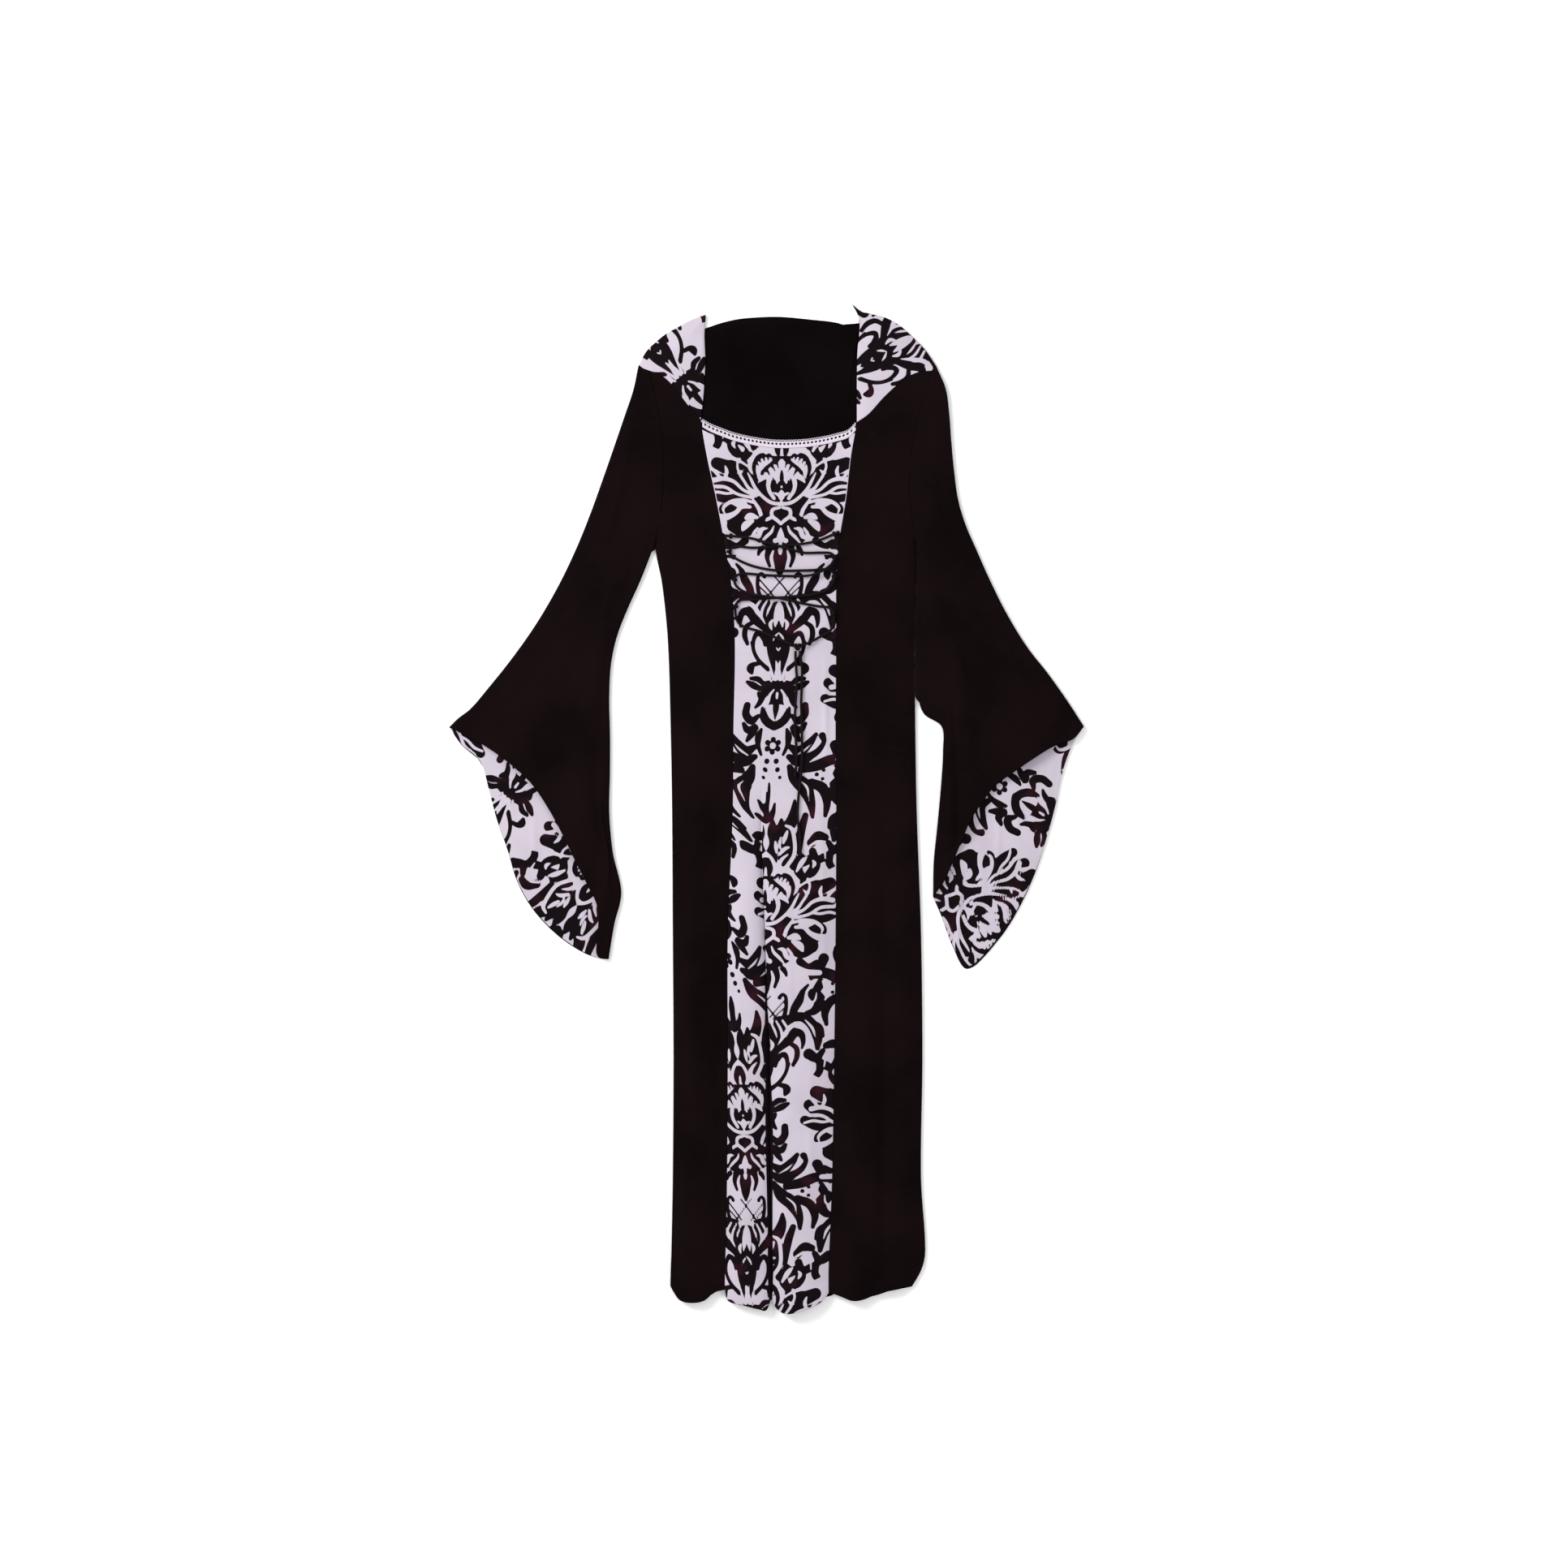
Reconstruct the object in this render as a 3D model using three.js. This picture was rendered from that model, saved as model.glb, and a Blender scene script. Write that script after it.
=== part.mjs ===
// A medieval gown laid flat on its back. +X is the right of the picture, +Y runs up the gown to its
// neck and +Z is up from the surface that it lies on. Sizes are millimetres, and left and right are
// the left and right of the picture.
import * as THREE from 'three';

// Cloth
const WALL = 2;
const LINING_WALL = 1.5;
const TRIM_WALL = 1.2;
const GAP = 0.3;
const THICKEST_LEAN = 1.5;

// Heights: the back lies on the floor and the front lies on the back along its free edges
const FRONT_BASE = WALL + GAP;
const FRONT_EDGE = FRONT_BASE + WALL;
const FRONT_RISE = 4;
const FRONT_REACH = 16;
const CREASE_DROP = 3.3;
const CREASE_REACH = 8;
const SLEEVE_EDGE = 2 * WALL + GAP + LINING_WALL + 0.5;
const SLEEVE_RISE = 3;
const SLEEVE_REACH = 18;
const BACK_INSET = 1.5;
const SEAM_LIFT = 2 * GAP;

// Levels shared by every panel of the body
const NECK_TOP = 620;
const ARMPIT = 377;
const FRONT_MIDDLE = 373;

// The body at each level: the two side edges, the two front seams and the crease of the skirt
const BODY_SECTIONS = [
  { y: 620, sideLeft: -166, seamLeft: -97, crease: 17, seamRight: 130, sideRight: 234 },
  { y: 550, sideLeft: -151, seamLeft: -93, crease: 17, seamRight: 128, sideRight: 214 },
  { y: 500, sideLeft: -146, seamLeft: -85, crease: 17, seamRight: 120, sideRight: 205 },
  { y: 440, sideLeft: -147, seamLeft: -72, crease: 19, seamRight: 113, sideRight: 203 },
  { y: 377, sideLeft: -158, seamLeft: -60, crease: 21, seamRight: 103, sideRight: 211 },
  { y: 317, sideLeft: -148, seamLeft: -50, crease: 23, seamRight: 99, sideRight: 211 },
  { y: 237, sideLeft: -140, seamLeft: -45, crease: 20, seamRight: 99, sideRight: 210 },
  { y: 110, sideLeft: -136, seamLeft: -47, crease: 2, seamRight: 98, sideRight: 211 },
  { y: -5, sideLeft: -134, seamLeft: -48, crease: -8, seamRight: 99, sideRight: 213 },
  { y: -177, sideLeft: -133, seamLeft: -55, crease: -3, seamRight: 98, sideRight: 219 },
  { y: -350, sideLeft: -132, seamLeft: -55, crease: 3, seamRight: 96, sideRight: 221 },
  { y: -522, sideLeft: -133, seamLeft: -56, crease: 5, seamRight: 93, sideRight: 219 },
  { y: -626, sideLeft: -135, seamLeft: -58, crease: 7, seamRight: 89, sideRight: 225 },
  { y: -655, sideLeft: -136, seamLeft: -59, crease: 7, seamRight: 88, sideRight: 219 },
  { y: -695, sideLeft: -137, seamLeft: -59, crease: 7, seamRight: 88, sideRight: 195 },
];

// Edges across the body, from left to right
const NECKLINE_LEFT = [
  { x: -93, y: 551 }, { x: -79, y: 543 }, { x: -64, y: 537 }, { x: -48, y: 531 },
  { x: -28, y: 526 }, { x: -5, y: 522 }, { x: 17, y: 520 },
];
const NECKLINE_RIGHT = [
  { x: 17, y: 520 }, { x: 52, y: 521 }, { x: 75, y: 524 }, { x: 98, y: 529 },
  { x: 116, y: 535 }, { x: 128, y: 547 },
];
const HEM_SIDE_LEFT = [
  { x: -136, y: -677 }, { x: -131, y: -686 }, { x: -122, y: -697 }, { x: -103, y: -700 },
  { x: -88, y: -697 }, { x: -74, y: -686 }, { x: -59, y: -682 },
];
const HEM_ROLL_LEFT = [
  { x: -59, y: -682 }, { x: -55, y: -697 }, { x: -30, y: -704 }, { x: -11, y: -709 },
  { x: -1, y: -711 }, { x: 7, y: -694 },
];
const HEM_ROLL_RIGHT = [
  { x: 7, y: -694 }, { x: 14, y: -708 }, { x: 26, y: -715 }, { x: 41, y: -714 },
  { x: 56, y: -710 }, { x: 71, y: -703 }, { x: 81, y: -696 }, { x: 88, y: -686 },
];
const HEM_SIDE_RIGHT = [
  { x: 88, y: -686 }, { x: 104, y: -691 }, { x: 121, y: -697 }, { x: 135, y: -696 },
  { x: 162, y: -686 }, { x: 185, y: -681 }, { x: 204, y: -678 },
];
const BACK_NECK = [
  { x: -88, y: 677 }, { x: -82, y: 682 }, { x: -45, y: 693 }, { x: -17, y: 696 }, { x: 18, y: 697 },
  { x: 64, y: 693 }, { x: 98, y: 689 }, { x: 129, y: 682 },
];
const BACK_HEM_LIFT = 8;

// Each shoulder yoke by its shoulder edge, its neck edge and its seam to the front, from left to right
const YOKE_LEFT = {
  shoulder: [
    { x: -182, y: 626 }, { x: -171, y: 647 }, { x: -157, y: 661 }, { x: -142, y: 673 },
    { x: -124, y: 683 }, { x: -108, y: 692 }, { x: -86, y: 700 },
  ],
  neck: [
    { x: -86, y: 700 }, { x: -88, y: 673 }, { x: -87, y: 638 }, { x: -89, y: 591 }, { x: -93, y: 551 },
  ],
  seam: [
    { x: -166, y: 620 }, { x: -150, y: 614 }, { x: -131, y: 597 }, { x: -119, y: 581 },
    { x: -108, y: 567 }, { x: -93, y: 551 },
  ],
};
const YOKE_RIGHT = {
  shoulder: [
    { x: 121, y: 715 }, { x: 135, y: 704 }, { x: 165, y: 697 }, { x: 188, y: 685 }, { x: 201, y: 674 },
    { x: 224, y: 651 }, { x: 240, y: 628 },
  ],
  neck: [
    { x: 121, y: 715 }, { x: 131, y: 696 }, { x: 132, y: 680 }, { x: 129, y: 650 }, { x: 128, y: 605 },
    { x: 128, y: 547 },
  ],
  seam: [
    { x: 128, y: 547 }, { x: 144, y: 558 }, { x: 166, y: 582 }, { x: 183, y: 598 }, { x: 200, y: 611 },
    { x: 216, y: 618 }, { x: 234, y: 620 },
  ],
};

// Folds of the front. A fold spans a share of its panel, and rises from its start level to its full
// height at its full level. A power of 1 gives a round roll with hard feet, and 2 a soft wave.
const PANELS = {
  sideLeft: ['sideLeft', 'seamLeft'],
  rollLeft: ['seamLeft', 'crease'],
  rollRight: ['crease', 'seamRight'],
  sideRight: ['seamRight', 'sideRight'],
};
const CREASE_START = 60;
const CREASE_FULL = -120;
const FRONT_FOLDS = [
  { panel: 'rollLeft', from: 0, crest: 0.52, to: 1, start: 50, full: -170, height: 8, power: 1 },
  { panel: 'rollRight', from: 0, crest: 0.4, to: 1, start: 50, full: -170, height: 9, power: 1 },
  { panel: 'sideLeft', from: 0.02, crest: 0.4, to: 0.9, start: 260, full: -500, height: 6, power: 2 },
  { panel: 'sideRight', from: 0.02, crest: 0.32, to: 0.6, start: 280, full: -450, height: 7, power: 2 },
  { panel: 'sideRight', from: 0.55, crest: 0.78, to: 1, start: 120, full: -520, height: 5, power: 2 },
];

// Each sleeve is a flat tube with a fold along its outer and its inner edge, a ring for each row
const SLEEVE_LEFT_RINGS = [
  { outerX: -182, outerY: 626, innerX: -158, innerY: 377 },
  { outerX: -189, outerY: 593, innerX: -168, innerY: 350 },
  { outerX: -200, outerY: 560, innerX: -181, innerY: 318 },
  { outerX: -213, outerY: 522, innerX: -196, innerY: 285 },
  { outerX: -230, outerY: 473, innerX: -211, innerY: 247 },
  { outerX: -249, outerY: 420, innerX: -220, innerY: 208 },
  { outerX: -270, outerY: 368, innerX: -223, innerY: 160 },
  { outerX: -296, outerY: 314, innerX: -222, innerY: 105 },
  { outerX: -327, outerY: 261, innerX: -222, innerY: 50 },
  { outerX: -360, outerY: 214, innerX: -223, innerY: -5 },
  { outerX: -391, outerY: 175, innerX: -218, innerY: -62 },
  { outerX: -420, outerY: 141, innerX: -206, innerY: -120 },
  { outerX: -438, outerY: 127, innerX: -216, innerY: -165 },
  { outerX: -450, outerY: 115, innerX: -224, innerY: -214 },
];
const SLEEVE_RIGHT_RINGS = [
  { outerX: 240, outerY: 628, innerX: 211, innerY: 377 },
  { outerX: 254, outerY: 595, innerX: 215, innerY: 345 },
  { outerX: 259, outerY: 560, innerX: 214.5, innerY: 310 },
  { outerX: 262, outerY: 520, innerX: 213, innerY: 272 },
  { outerX: 266, outerY: 478, innerX: 213, innerY: 235 },
  { outerX: 272, outerY: 436, innerX: 213.5, innerY: 198 },
  { outerX: 283, outerY: 400, innerX: 214, innerY: 163 },
  { outerX: 296, outerY: 370, innerX: 223, innerY: 134 },
  { outerX: 316, outerY: 325, innerX: 248, innerY: 116 },
  { outerX: 341, outerY: 275, innerX: 250, innerY: 80 },
  { outerX: 370, outerY: 228, innerX: 247, innerY: 30 },
  { outerX: 399, outerY: 191, innerX: 242, innerY: -25 },
  { outerX: 426, outerY: 153, innerX: 237, innerY: -75 },
  { outerX: 450, outerY: 116, innerX: 236, innerY: -125 },
];

// The cuffs from the outer to the inner fold: the layer above ends on one line, and the layer on the
// floor reaches on to the other and shows its lining
const CUFF_LEFT = [
  { upperX: -450, upperY: 115, lowerX: -450, lowerY: 115 },
  { upperX: -424, upperY: 102, lowerX: -432, lowerY: 89 },
  { upperX: -392, upperY: 84, lowerX: -405, lowerY: 65 },
  { upperX: -361, upperY: 61, lowerX: -393, lowerY: 25 },
  { upperX: -333, upperY: 35, lowerX: -382, lowerY: -18 },
  { upperX: -310, upperY: 1, lowerX: -367, lowerY: -60 },
  { upperX: -289, upperY: -37, lowerX: -355, lowerY: -101 },
  { upperX: -272, upperY: -72, lowerX: -336, lowerY: -137 },
  { upperX: -254, upperY: -108, lowerX: -311, lowerY: -167 },
  { upperX: -238, upperY: -145, lowerX: -281, lowerY: -192 },
  { upperX: -239, upperY: -210, lowerX: -250, lowerY: -209 },
  { upperX: -224, upperY: -214, lowerX: -224, lowerY: -214 },
];
const CUFF_RIGHT = [
  { upperX: 450, upperY: 116, lowerX: 450, lowerY: 116 },
  { upperX: 434, upperY: 98, lowerX: 432, lowerY: 88 },
  { upperX: 409, upperY: 89, lowerX: 417, lowerY: 45 },
  { upperX: 379, upperY: 71, lowerX: 408, lowerY: 0 },
  { upperX: 350, upperY: 51, lowerX: 397, lowerY: -42 },
  { upperX: 324, upperY: 32, lowerX: 383, lowerY: -86 },
  { upperX: 306, upperY: 9, lowerX: 362, lowerY: -134 },
  { upperX: 288, upperY: -18, lowerX: 331, lowerY: -184 },
  { upperX: 276, upperY: -47, lowerX: 284, lowerY: -228 },
  { upperX: 264, upperY: -76, lowerX: 264, lowerY: -196 },
  { upperX: 251, upperY: -104, lowerX: 250, lowerY: -158 },
  { upperX: 236, upperY: -125, lowerX: 236, lowerY: -125 },
];
const ARMHOLE_SPLITS = [1, 1, 2, 3, 2, 2];
const SLEEVE_BLEND_RINGS = 3;

// Soft flutes of each sleeve, at a share of the way from its outer to its inner fold
const SLEEVE_FOLDS = [
  { across: 0.28, halfWidth: 0.16, start: 0.35, height: 4 },
  { across: 0.62, halfWidth: 0.15, start: 0.2, height: 5 },
  { across: 0.86, halfWidth: 0.1, start: 0.5, height: 3 },
];
const LINING_FIRST_RING = 10;
const LINING_EDGE_SHARE = 0.25;
const LINING_HEM_INSET = 1;

// The braid on the neckline, with a scalloped edge of picots
const PICOTS = 40;
const PICOT_HEIGHT = 2;
const PICOT_VALLEY = 0.4;
const BRAID_DEPTH = 9;
const BRAID_END = 0.01;

// The lace and its loops. A lift raises the lace where it passes over itself or enters the knot.
const LACE_RADIUS = 1.8;
const LACE_GAP = 0.4;
const LACE_SIDES = 8;
const ROUTE_SAMPLES = 3;
const OVER = 2 * LACE_RADIUS + 0.6;
const KNOT = { x: 44, y: 229, halfWidth: 8, halfLength: 6, halfHeight: 5 };
const AT_KNOT = KNOT.halfHeight - LACE_RADIUS;
const LACE_A = [
  { x: -59, y: 386, lift: 0 }, { x: -42, y: 385, lift: 0 }, { x: -20, y: 382, lift: 0 },
  { x: 0, y: 376, lift: OVER }, { x: 33, y: 367, lift: OVER }, { x: 52, y: 362, lift: 0 },
  { x: 78, y: 362, lift: 0 }, { x: 91, y: 361, lift: 0 }, { x: 96, y: 356, lift: 0 },
  { x: 94, y: 349, lift: 0 }, { x: 88, y: 342, lift: OVER }, { x: 67, y: 331, lift: OVER },
  { x: 48, y: 329, lift: 0 }, { x: 0, y: 330, lift: 0 }, { x: -36, y: 332, lift: 0 },
  { x: -44, y: 328, lift: 0 }, { x: -45, y: 319, lift: 0 }, { x: -39, y: 311, lift: 0 },
  { x: -25, y: 304, lift: 0 }, { x: -9, y: 301, lift: OVER }, { x: 15, y: 298, lift: OVER },
  { x: 34, y: 294, lift: OVER }, { x: 52, y: 290, lift: 0 }, { x: 74, y: 286, lift: 0 },
  { x: 89, y: 284, lift: 0 }, { x: 94, y: 278, lift: 0 }, { x: 95, y: 264, lift: 0 },
  { x: 91, y: 253, lift: 0 }, { x: 74, y: 242, lift: 0 }, { x: 61, y: 235, lift: AT_KNOT - 1 },
  { x: 52.2, y: 230.8, lift: AT_KNOT },
];
const LACE_B = [
  { x: 103, y: 392, lift: 0 }, { x: 88, y: 385, lift: 0 }, { x: 65, y: 377, lift: 0 },
  { x: 16, y: 371, lift: 0 }, { x: -20, y: 369, lift: 0 }, { x: -46, y: 370.5, lift: 0 },
  { x: -53, y: 363.5, lift: 0 }, { x: -46, y: 355.5, lift: 0 }, { x: -22, y: 344, lift: 0 },
  { x: 13, y: 337, lift: 0 }, { x: 60, y: 337, lift: 0 }, { x: 86, y: 338, lift: 0 },
  { x: 95, y: 333, lift: 0 }, { x: 95, y: 323, lift: 0 }, { x: 86, y: 310, lift: 0 },
  { x: 66, y: 303, lift: 0 }, { x: 40, y: 300, lift: 0 }, { x: 12, y: 298, lift: 0 },
  { x: -20, y: 296, lift: 0 }, { x: -39, y: 294, lift: 0 }, { x: -44, y: 286, lift: 0 },
  { x: -43, y: 270, lift: 0 }, { x: -37, y: 260, lift: 0 }, { x: -8, y: 250, lift: 0 },
  { x: 22, y: 238, lift: AT_KNOT - 1 }, { x: 36, y: 231.8, lift: AT_KNOT },
];
const LACE_END_A = [
  { x: 41, y: 222.8, lift: AT_KNOT }, { x: 41, y: 212, lift: 1 }, { x: 42, y: 198, lift: 0 },
  { x: 43, y: 178, lift: 0 }, { x: 41, y: 150, lift: 0 }, { x: 40, y: 118, lift: 0 },
  { x: 42, y: 88, lift: 0 }, { x: 42, y: 62, lift: 0 }, { x: 40, y: 44, lift: 0 },
];
const LACE_END_B = [
  { x: 47, y: 222.9, lift: AT_KNOT }, { x: 48.5, y: 212, lift: 1 }, { x: 50, y: 198, lift: 0 },
  { x: 50, y: 178, lift: 0 }, { x: 49, y: 150, lift: 0 }, { x: 50, y: 110, lift: 0 },
  { x: 50, y: 70, lift: 0 }, { x: 48, y: 41, lift: 0 }, { x: 45, y: 14, lift: 0 },
  { x: 44, y: -12, lift: 0 }, { x: 47, y: -40, lift: 0 }, { x: 48, y: -68, lift: 0 },
];
// Each loop is an arch over its lace, at a place counted in the route's points
const LOOP = { width: 3, strand: 1.4, reach: LACE_RADIUS + 2, clear: 2 * LACE_RADIUS + 1.2 };
const LOOP_SEGMENTS = 6;
const LOOPS = [
  { name: 'loop_left_1', lace: LACE_A, at: 0.5 }, { name: 'loop_left_2', lace: LACE_B, at: 6 },
  { name: 'loop_left_3', lace: LACE_A, at: 15.5 }, { name: 'loop_left_4', lace: LACE_B, at: 20 },
  { name: 'loop_left_5', lace: LACE_B, at: 21 }, { name: 'loop_right_1', lace: LACE_B, at: 0.5 },
  { name: 'loop_right_2', lace: LACE_A, at: 8 }, { name: 'loop_right_3', lace: LACE_B, at: 12.5 },
  { name: 'loop_right_4', lace: LACE_A, at: 25.2 }, { name: 'loop_right_5', lace: LACE_A, at: 26 },
];

// Shares at which the rows and columns of the panels stand, closer at the edges that round over
const BODICE_SHARES = [0, 0.06, 0.25, 0.5, 0.75, 1];
const SKIRT_ROWS = 18;
const SIDE_SHARES = [0, 0.05, 0.13, 0.25, 0.38, 0.51, 0.64, 0.77, 0.9, 1];
const ROLL_LEFT_SHARES = [0, 0.1, 0.24, 0.4, 0.57, 0.73, 0.88, 1];
const ROLL_RIGHT_SHARES = [0, 0.09, 0.21, 0.34, 0.47, 0.6, 0.73, 0.87, 1];
const YOKE_SHARES = [0, 0.07, 0.2, 0.4, 0.65, 0.85, 1];

// How fast the bow of a panel's top and bottom edge fades into it
const TOP_FADE = 3;
const BOTTOM_FADE = 2;

// Finishes
const FINISH = {
  velvet: { color: 0x140a0b, roughness: 0.95 },
  damask: { color: 0xd2c8d8, roughness: 0.75 },
  braid: { color: 0xe4dde6, roughness: 0.8 },
  cord: { color: 0x0e0709, roughness: 0.7 },
};

// Small sums
const mix = (a, b, t) => a + (b - a) * t;
const clamp = (t) => Math.min(1, Math.max(0, t));
const smooth = (t) => clamp(t) ** 2 * (3 - 2 * clamp(t));
const flatDistance = (a, b) => Math.hypot(b.x - a.x, b.y - a.y);
const reversed = (shares) => shares.map((share) => 1 - share).reverse();

// A smooth curve down the body through one column of its sections
function sectionCurve(column) {
  const rows = BODY_SECTIONS;
  const slope = (i) => {
    const above = rows[Math.max(0, i - 1)];
    const below = rows[Math.min(rows.length - 1, i + 1)];
    return (below[column] - above[column]) / (below.y - above.y);
  };
  return (y) => {
    const found = rows.findIndex((row) => row.y < y);
    const i = Math.max(1, found < 0 ? rows.length - 1 : found);
    const [a, b] = [rows[i - 1], rows[i]];
    const span = b.y - a.y;
    const t = clamp((y - a.y) / span);
    const bend = t * (1 - t) * span;
    return mix(a[column], b[column], t * t * (3 - 2 * t))
      + bend * ((1 - t) * slope(i - 1) - t * slope(i));
  };
}
const BODY = Object.fromEntries(
  ['sideLeft', 'seamLeft', 'crease', 'seamRight', 'sideRight'].map((name) => [name, sectionCurve(name)]),
);

// A smooth flat curve through points
const flatCurve = (points) => new THREE.CatmullRomCurve3(
  points.map(({ x, y }) => new THREE.Vector3(x, y, 0)), false, 'centripetal',
);

// Points at the given shares of a path's length
function pathAt(points, shares) {
  const curve = flatCurve(points);
  return shares.map((share) => curve.getPointAt(share)).map(({ x, y }) => ({ x, y }));
}

// The levels of the body's rows between a top, the level of the armpit and a hem
function bodyLevels(top, middle, hem) {
  const bodice = BODICE_SHARES.map((share) => mix(top, middle, share));
  const skirt = Array.from({ length: SKIRT_ROWS }, (_, i) => mix(middle, hem, (i + 1) / SKIRT_ROWS));
  return [...bodice, ...skirt];
}
const lineDown = (curve, levels) => levels.map((y) => ({ x: curve(y), y }));

// How far along a path each of its points lies, as a share
function lengthShares(path) {
  const lengths = path.map(() => 0);
  path.forEach((p, i) => {
    if (i > 0) lengths[i] = lengths[i - 1] + flatDistance(path[i - 1], p);
  });
  return lengths.map((length) => length / lengths[path.length - 1]);
}

// The flat shape inside four edges: rows run straight from side to side, and bow as the top and the
// bottom edge do, less and less with the distance from them
function patch(top, bottom, left, right) {
  const [topShares, bottomShares] = [lengthShares(top), lengthShares(bottom)];
  const [leftShares, rightShares] = [lengthShares(left), lengthShares(right)];
  const last = top.length - 1;
  return left.map((_, j) => top.map((__, i) => {
    const u = (topShares[i] + bottomShares[i]) / 2;
    const v = (leftShares[j] + rightShares[j]) / 2;
    const bow = (edge, axis) => edge[i][axis] - mix(edge[0][axis], edge[last][axis], u);
    const blend = (axis) => mix(left[j][axis], right[j][axis], u)
      + bow(top, axis) * (1 - v) ** TOP_FADE + bow(bottom, axis) * v ** BOTTOM_FADE;
    return { x: blend('x'), y: blend('y') };
  }));
}

// Distance from a point to the nearest of some paths
function distanceTo(paths, point) {
  let nearest = Infinity;
  for (const path of paths) {
    for (let i = 1; i < path.length; i += 1) {
      const [a, b] = [path[i - 1], path[i]];
      const along = clamp(((point.x - a.x) * (b.x - a.x) + (point.y - a.y) * (b.y - a.y))
        / flatDistance(a, b) ** 2);
      const foot = { x: mix(a.x, b.x, along), y: mix(a.y, b.y, along) };
      nearest = Math.min(nearest, flatDistance(foot, point));
    }
  }
  return nearest;
}

// The edges that the panels share
const SIDE_LEVELS_LEFT = bodyLevels(NECK_TOP, ARMPIT, HEM_SIDE_LEFT[0].y);
const SIDE_LEVELS_RIGHT = bodyLevels(NECK_TOP, ARMPIT, HEM_SIDE_RIGHT.at(-1).y);
const SIDE_EDGE_LEFT = lineDown(BODY.sideLeft, SIDE_LEVELS_LEFT);
const SIDE_EDGE_RIGHT = lineDown(BODY.sideRight, SIDE_LEVELS_RIGHT);
const frontLine = (curve, top, hem) => lineDown(curve, bodyLevels(top.y, FRONT_MIDDLE, hem.y));
const SEAM_EDGE_LEFT = frontLine(BODY.seamLeft, NECKLINE_LEFT[0], HEM_ROLL_LEFT[0]);
const SEAM_EDGE_RIGHT = frontLine(BODY.seamRight, NECKLINE_RIGHT.at(-1), HEM_SIDE_RIGHT[0]);
const CREASE_EDGE = frontLine(BODY.crease, NECKLINE_RIGHT[0], HEM_ROLL_RIGHT[0]);
const BODICE_ROWS = BODICE_SHARES.length;
const FREE_EDGES = [
  SIDE_EDGE_LEFT.slice(BODICE_ROWS - 1), SIDE_EDGE_RIGHT.slice(BODICE_ROWS - 1),
  YOKE_LEFT.shoulder, YOKE_LEFT.neck, NECKLINE_LEFT, NECKLINE_RIGHT, YOKE_RIGHT.neck, YOKE_RIGHT.shoulder,
];

// Height of a fold of the front at a point
function foldHeight(fold, point) {
  const [left, right] = PANELS[fold.panel].map((name) => BODY[name](point.y));
  const across = (point.x - left) / (right - left);
  const reach = across < fold.crest ? fold.crest - fold.from : fold.to - fold.crest;
  const offset = clamp(Math.abs(across - fold.crest) / reach);
  const growth = smooth((fold.start - point.y) / (fold.start - fold.full));
  return fold.height * growth * (1 - offset ** 2) ** fold.power;
}

// Height of the outer face of the front: it rounds over at its free edges, and carries the folds
function frontHeight(point) {
  const rounding = 1 - Math.exp(-distanceTo(FREE_EDGES, point) / FRONT_REACH);
  const crown = FRONT_EDGE + FRONT_RISE * rounding;
  const creaseDepth = smooth((CREASE_START - point.y) / (CREASE_START - CREASE_FULL));
  const crease = CREASE_DROP * creaseDepth
    * Math.exp(-Math.abs(point.x - BODY.crease(point.y)) / CREASE_REACH);
  return FRONT_FOLDS.reduce((height, fold) => height + foldHeight(fold, point), crown - crease);
}

// How much thicker a wall is up and down where it leans, so that it keeps its true thickness
function leaningWall(height, point) {
  const { x, y } = point;
  const slopeX = (height({ x: x + 1, y }) - height({ x: x - 1, y })) / 2;
  const slopeY = (height({ x, y: y + 1 }) - height({ x, y: y - 1 })) / 2;
  return WALL * Math.min(THICKEST_LEAN, Math.hypot(1, slopeX, slopeY));
}

// A closed body from points and four-sided faces, turned so that its faces point out
function closedBody(points, faces) {
  const triangles = faces.flatMap(([a, b, c, d]) => [[a, b, c], [a, c, d]]);
  const corners = points.map((p) => new THREE.Vector3(p.x, p.y, p.z));
  const normal = new THREE.Vector3();
  const volume = triangles.reduce((sum, [a, b, c]) => (
    sum + corners[a].dot(normal.crossVectors(corners[b], corners[c]))), 0);
  const index = triangles.flatMap(([a, b, c]) => (volume > 0 ? [a, b, c] : [a, c, b]));
  const geometry = new THREE.BufferGeometry();
  const positions = corners.flatMap((corner) => corner.toArray());
  geometry.setAttribute('position', new THREE.Float32BufferAttribute(positions, 3));
  geometry.setIndex(index);
  geometry.computeVertexNormals();
  return geometry;
}

// A sheet: a grid of outer points over a grid of inner points, closed round its rim
function sheetBody(outer, inner) {
  const [rows, columns] = [outer.length, outer[0].length];
  const count = rows * columns;
  const at = (j, i) => j * columns + i;
  const faces = [];
  for (let j = 0; j + 1 < rows; j += 1) {
    for (let i = 0; i + 1 < columns; i += 1) {
      const cell = [at(j, i), at(j + 1, i), at(j + 1, i + 1), at(j, i + 1)];
      faces.push(cell, cell.map((k) => k + count).reverse());
    }
  }
  const rim = [
    ...Array.from({ length: rows - 1 }, (_, j) => at(j, 0)),
    ...Array.from({ length: columns - 1 }, (_, i) => at(rows - 1, i)),
    ...Array.from({ length: rows - 1 }, (_, j) => at(rows - 1 - j, columns - 1)),
    ...Array.from({ length: columns - 1 }, (_, i) => at(0, columns - 1 - i)),
  ];
  rim.forEach((k, n) => {
    const next = rim[(n + 1) % rim.length];
    faces.push([k, k + count, next + count, next]);
  });
  return closedBody([...outer.flat(), ...inner.flat()], faces);
}

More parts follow.
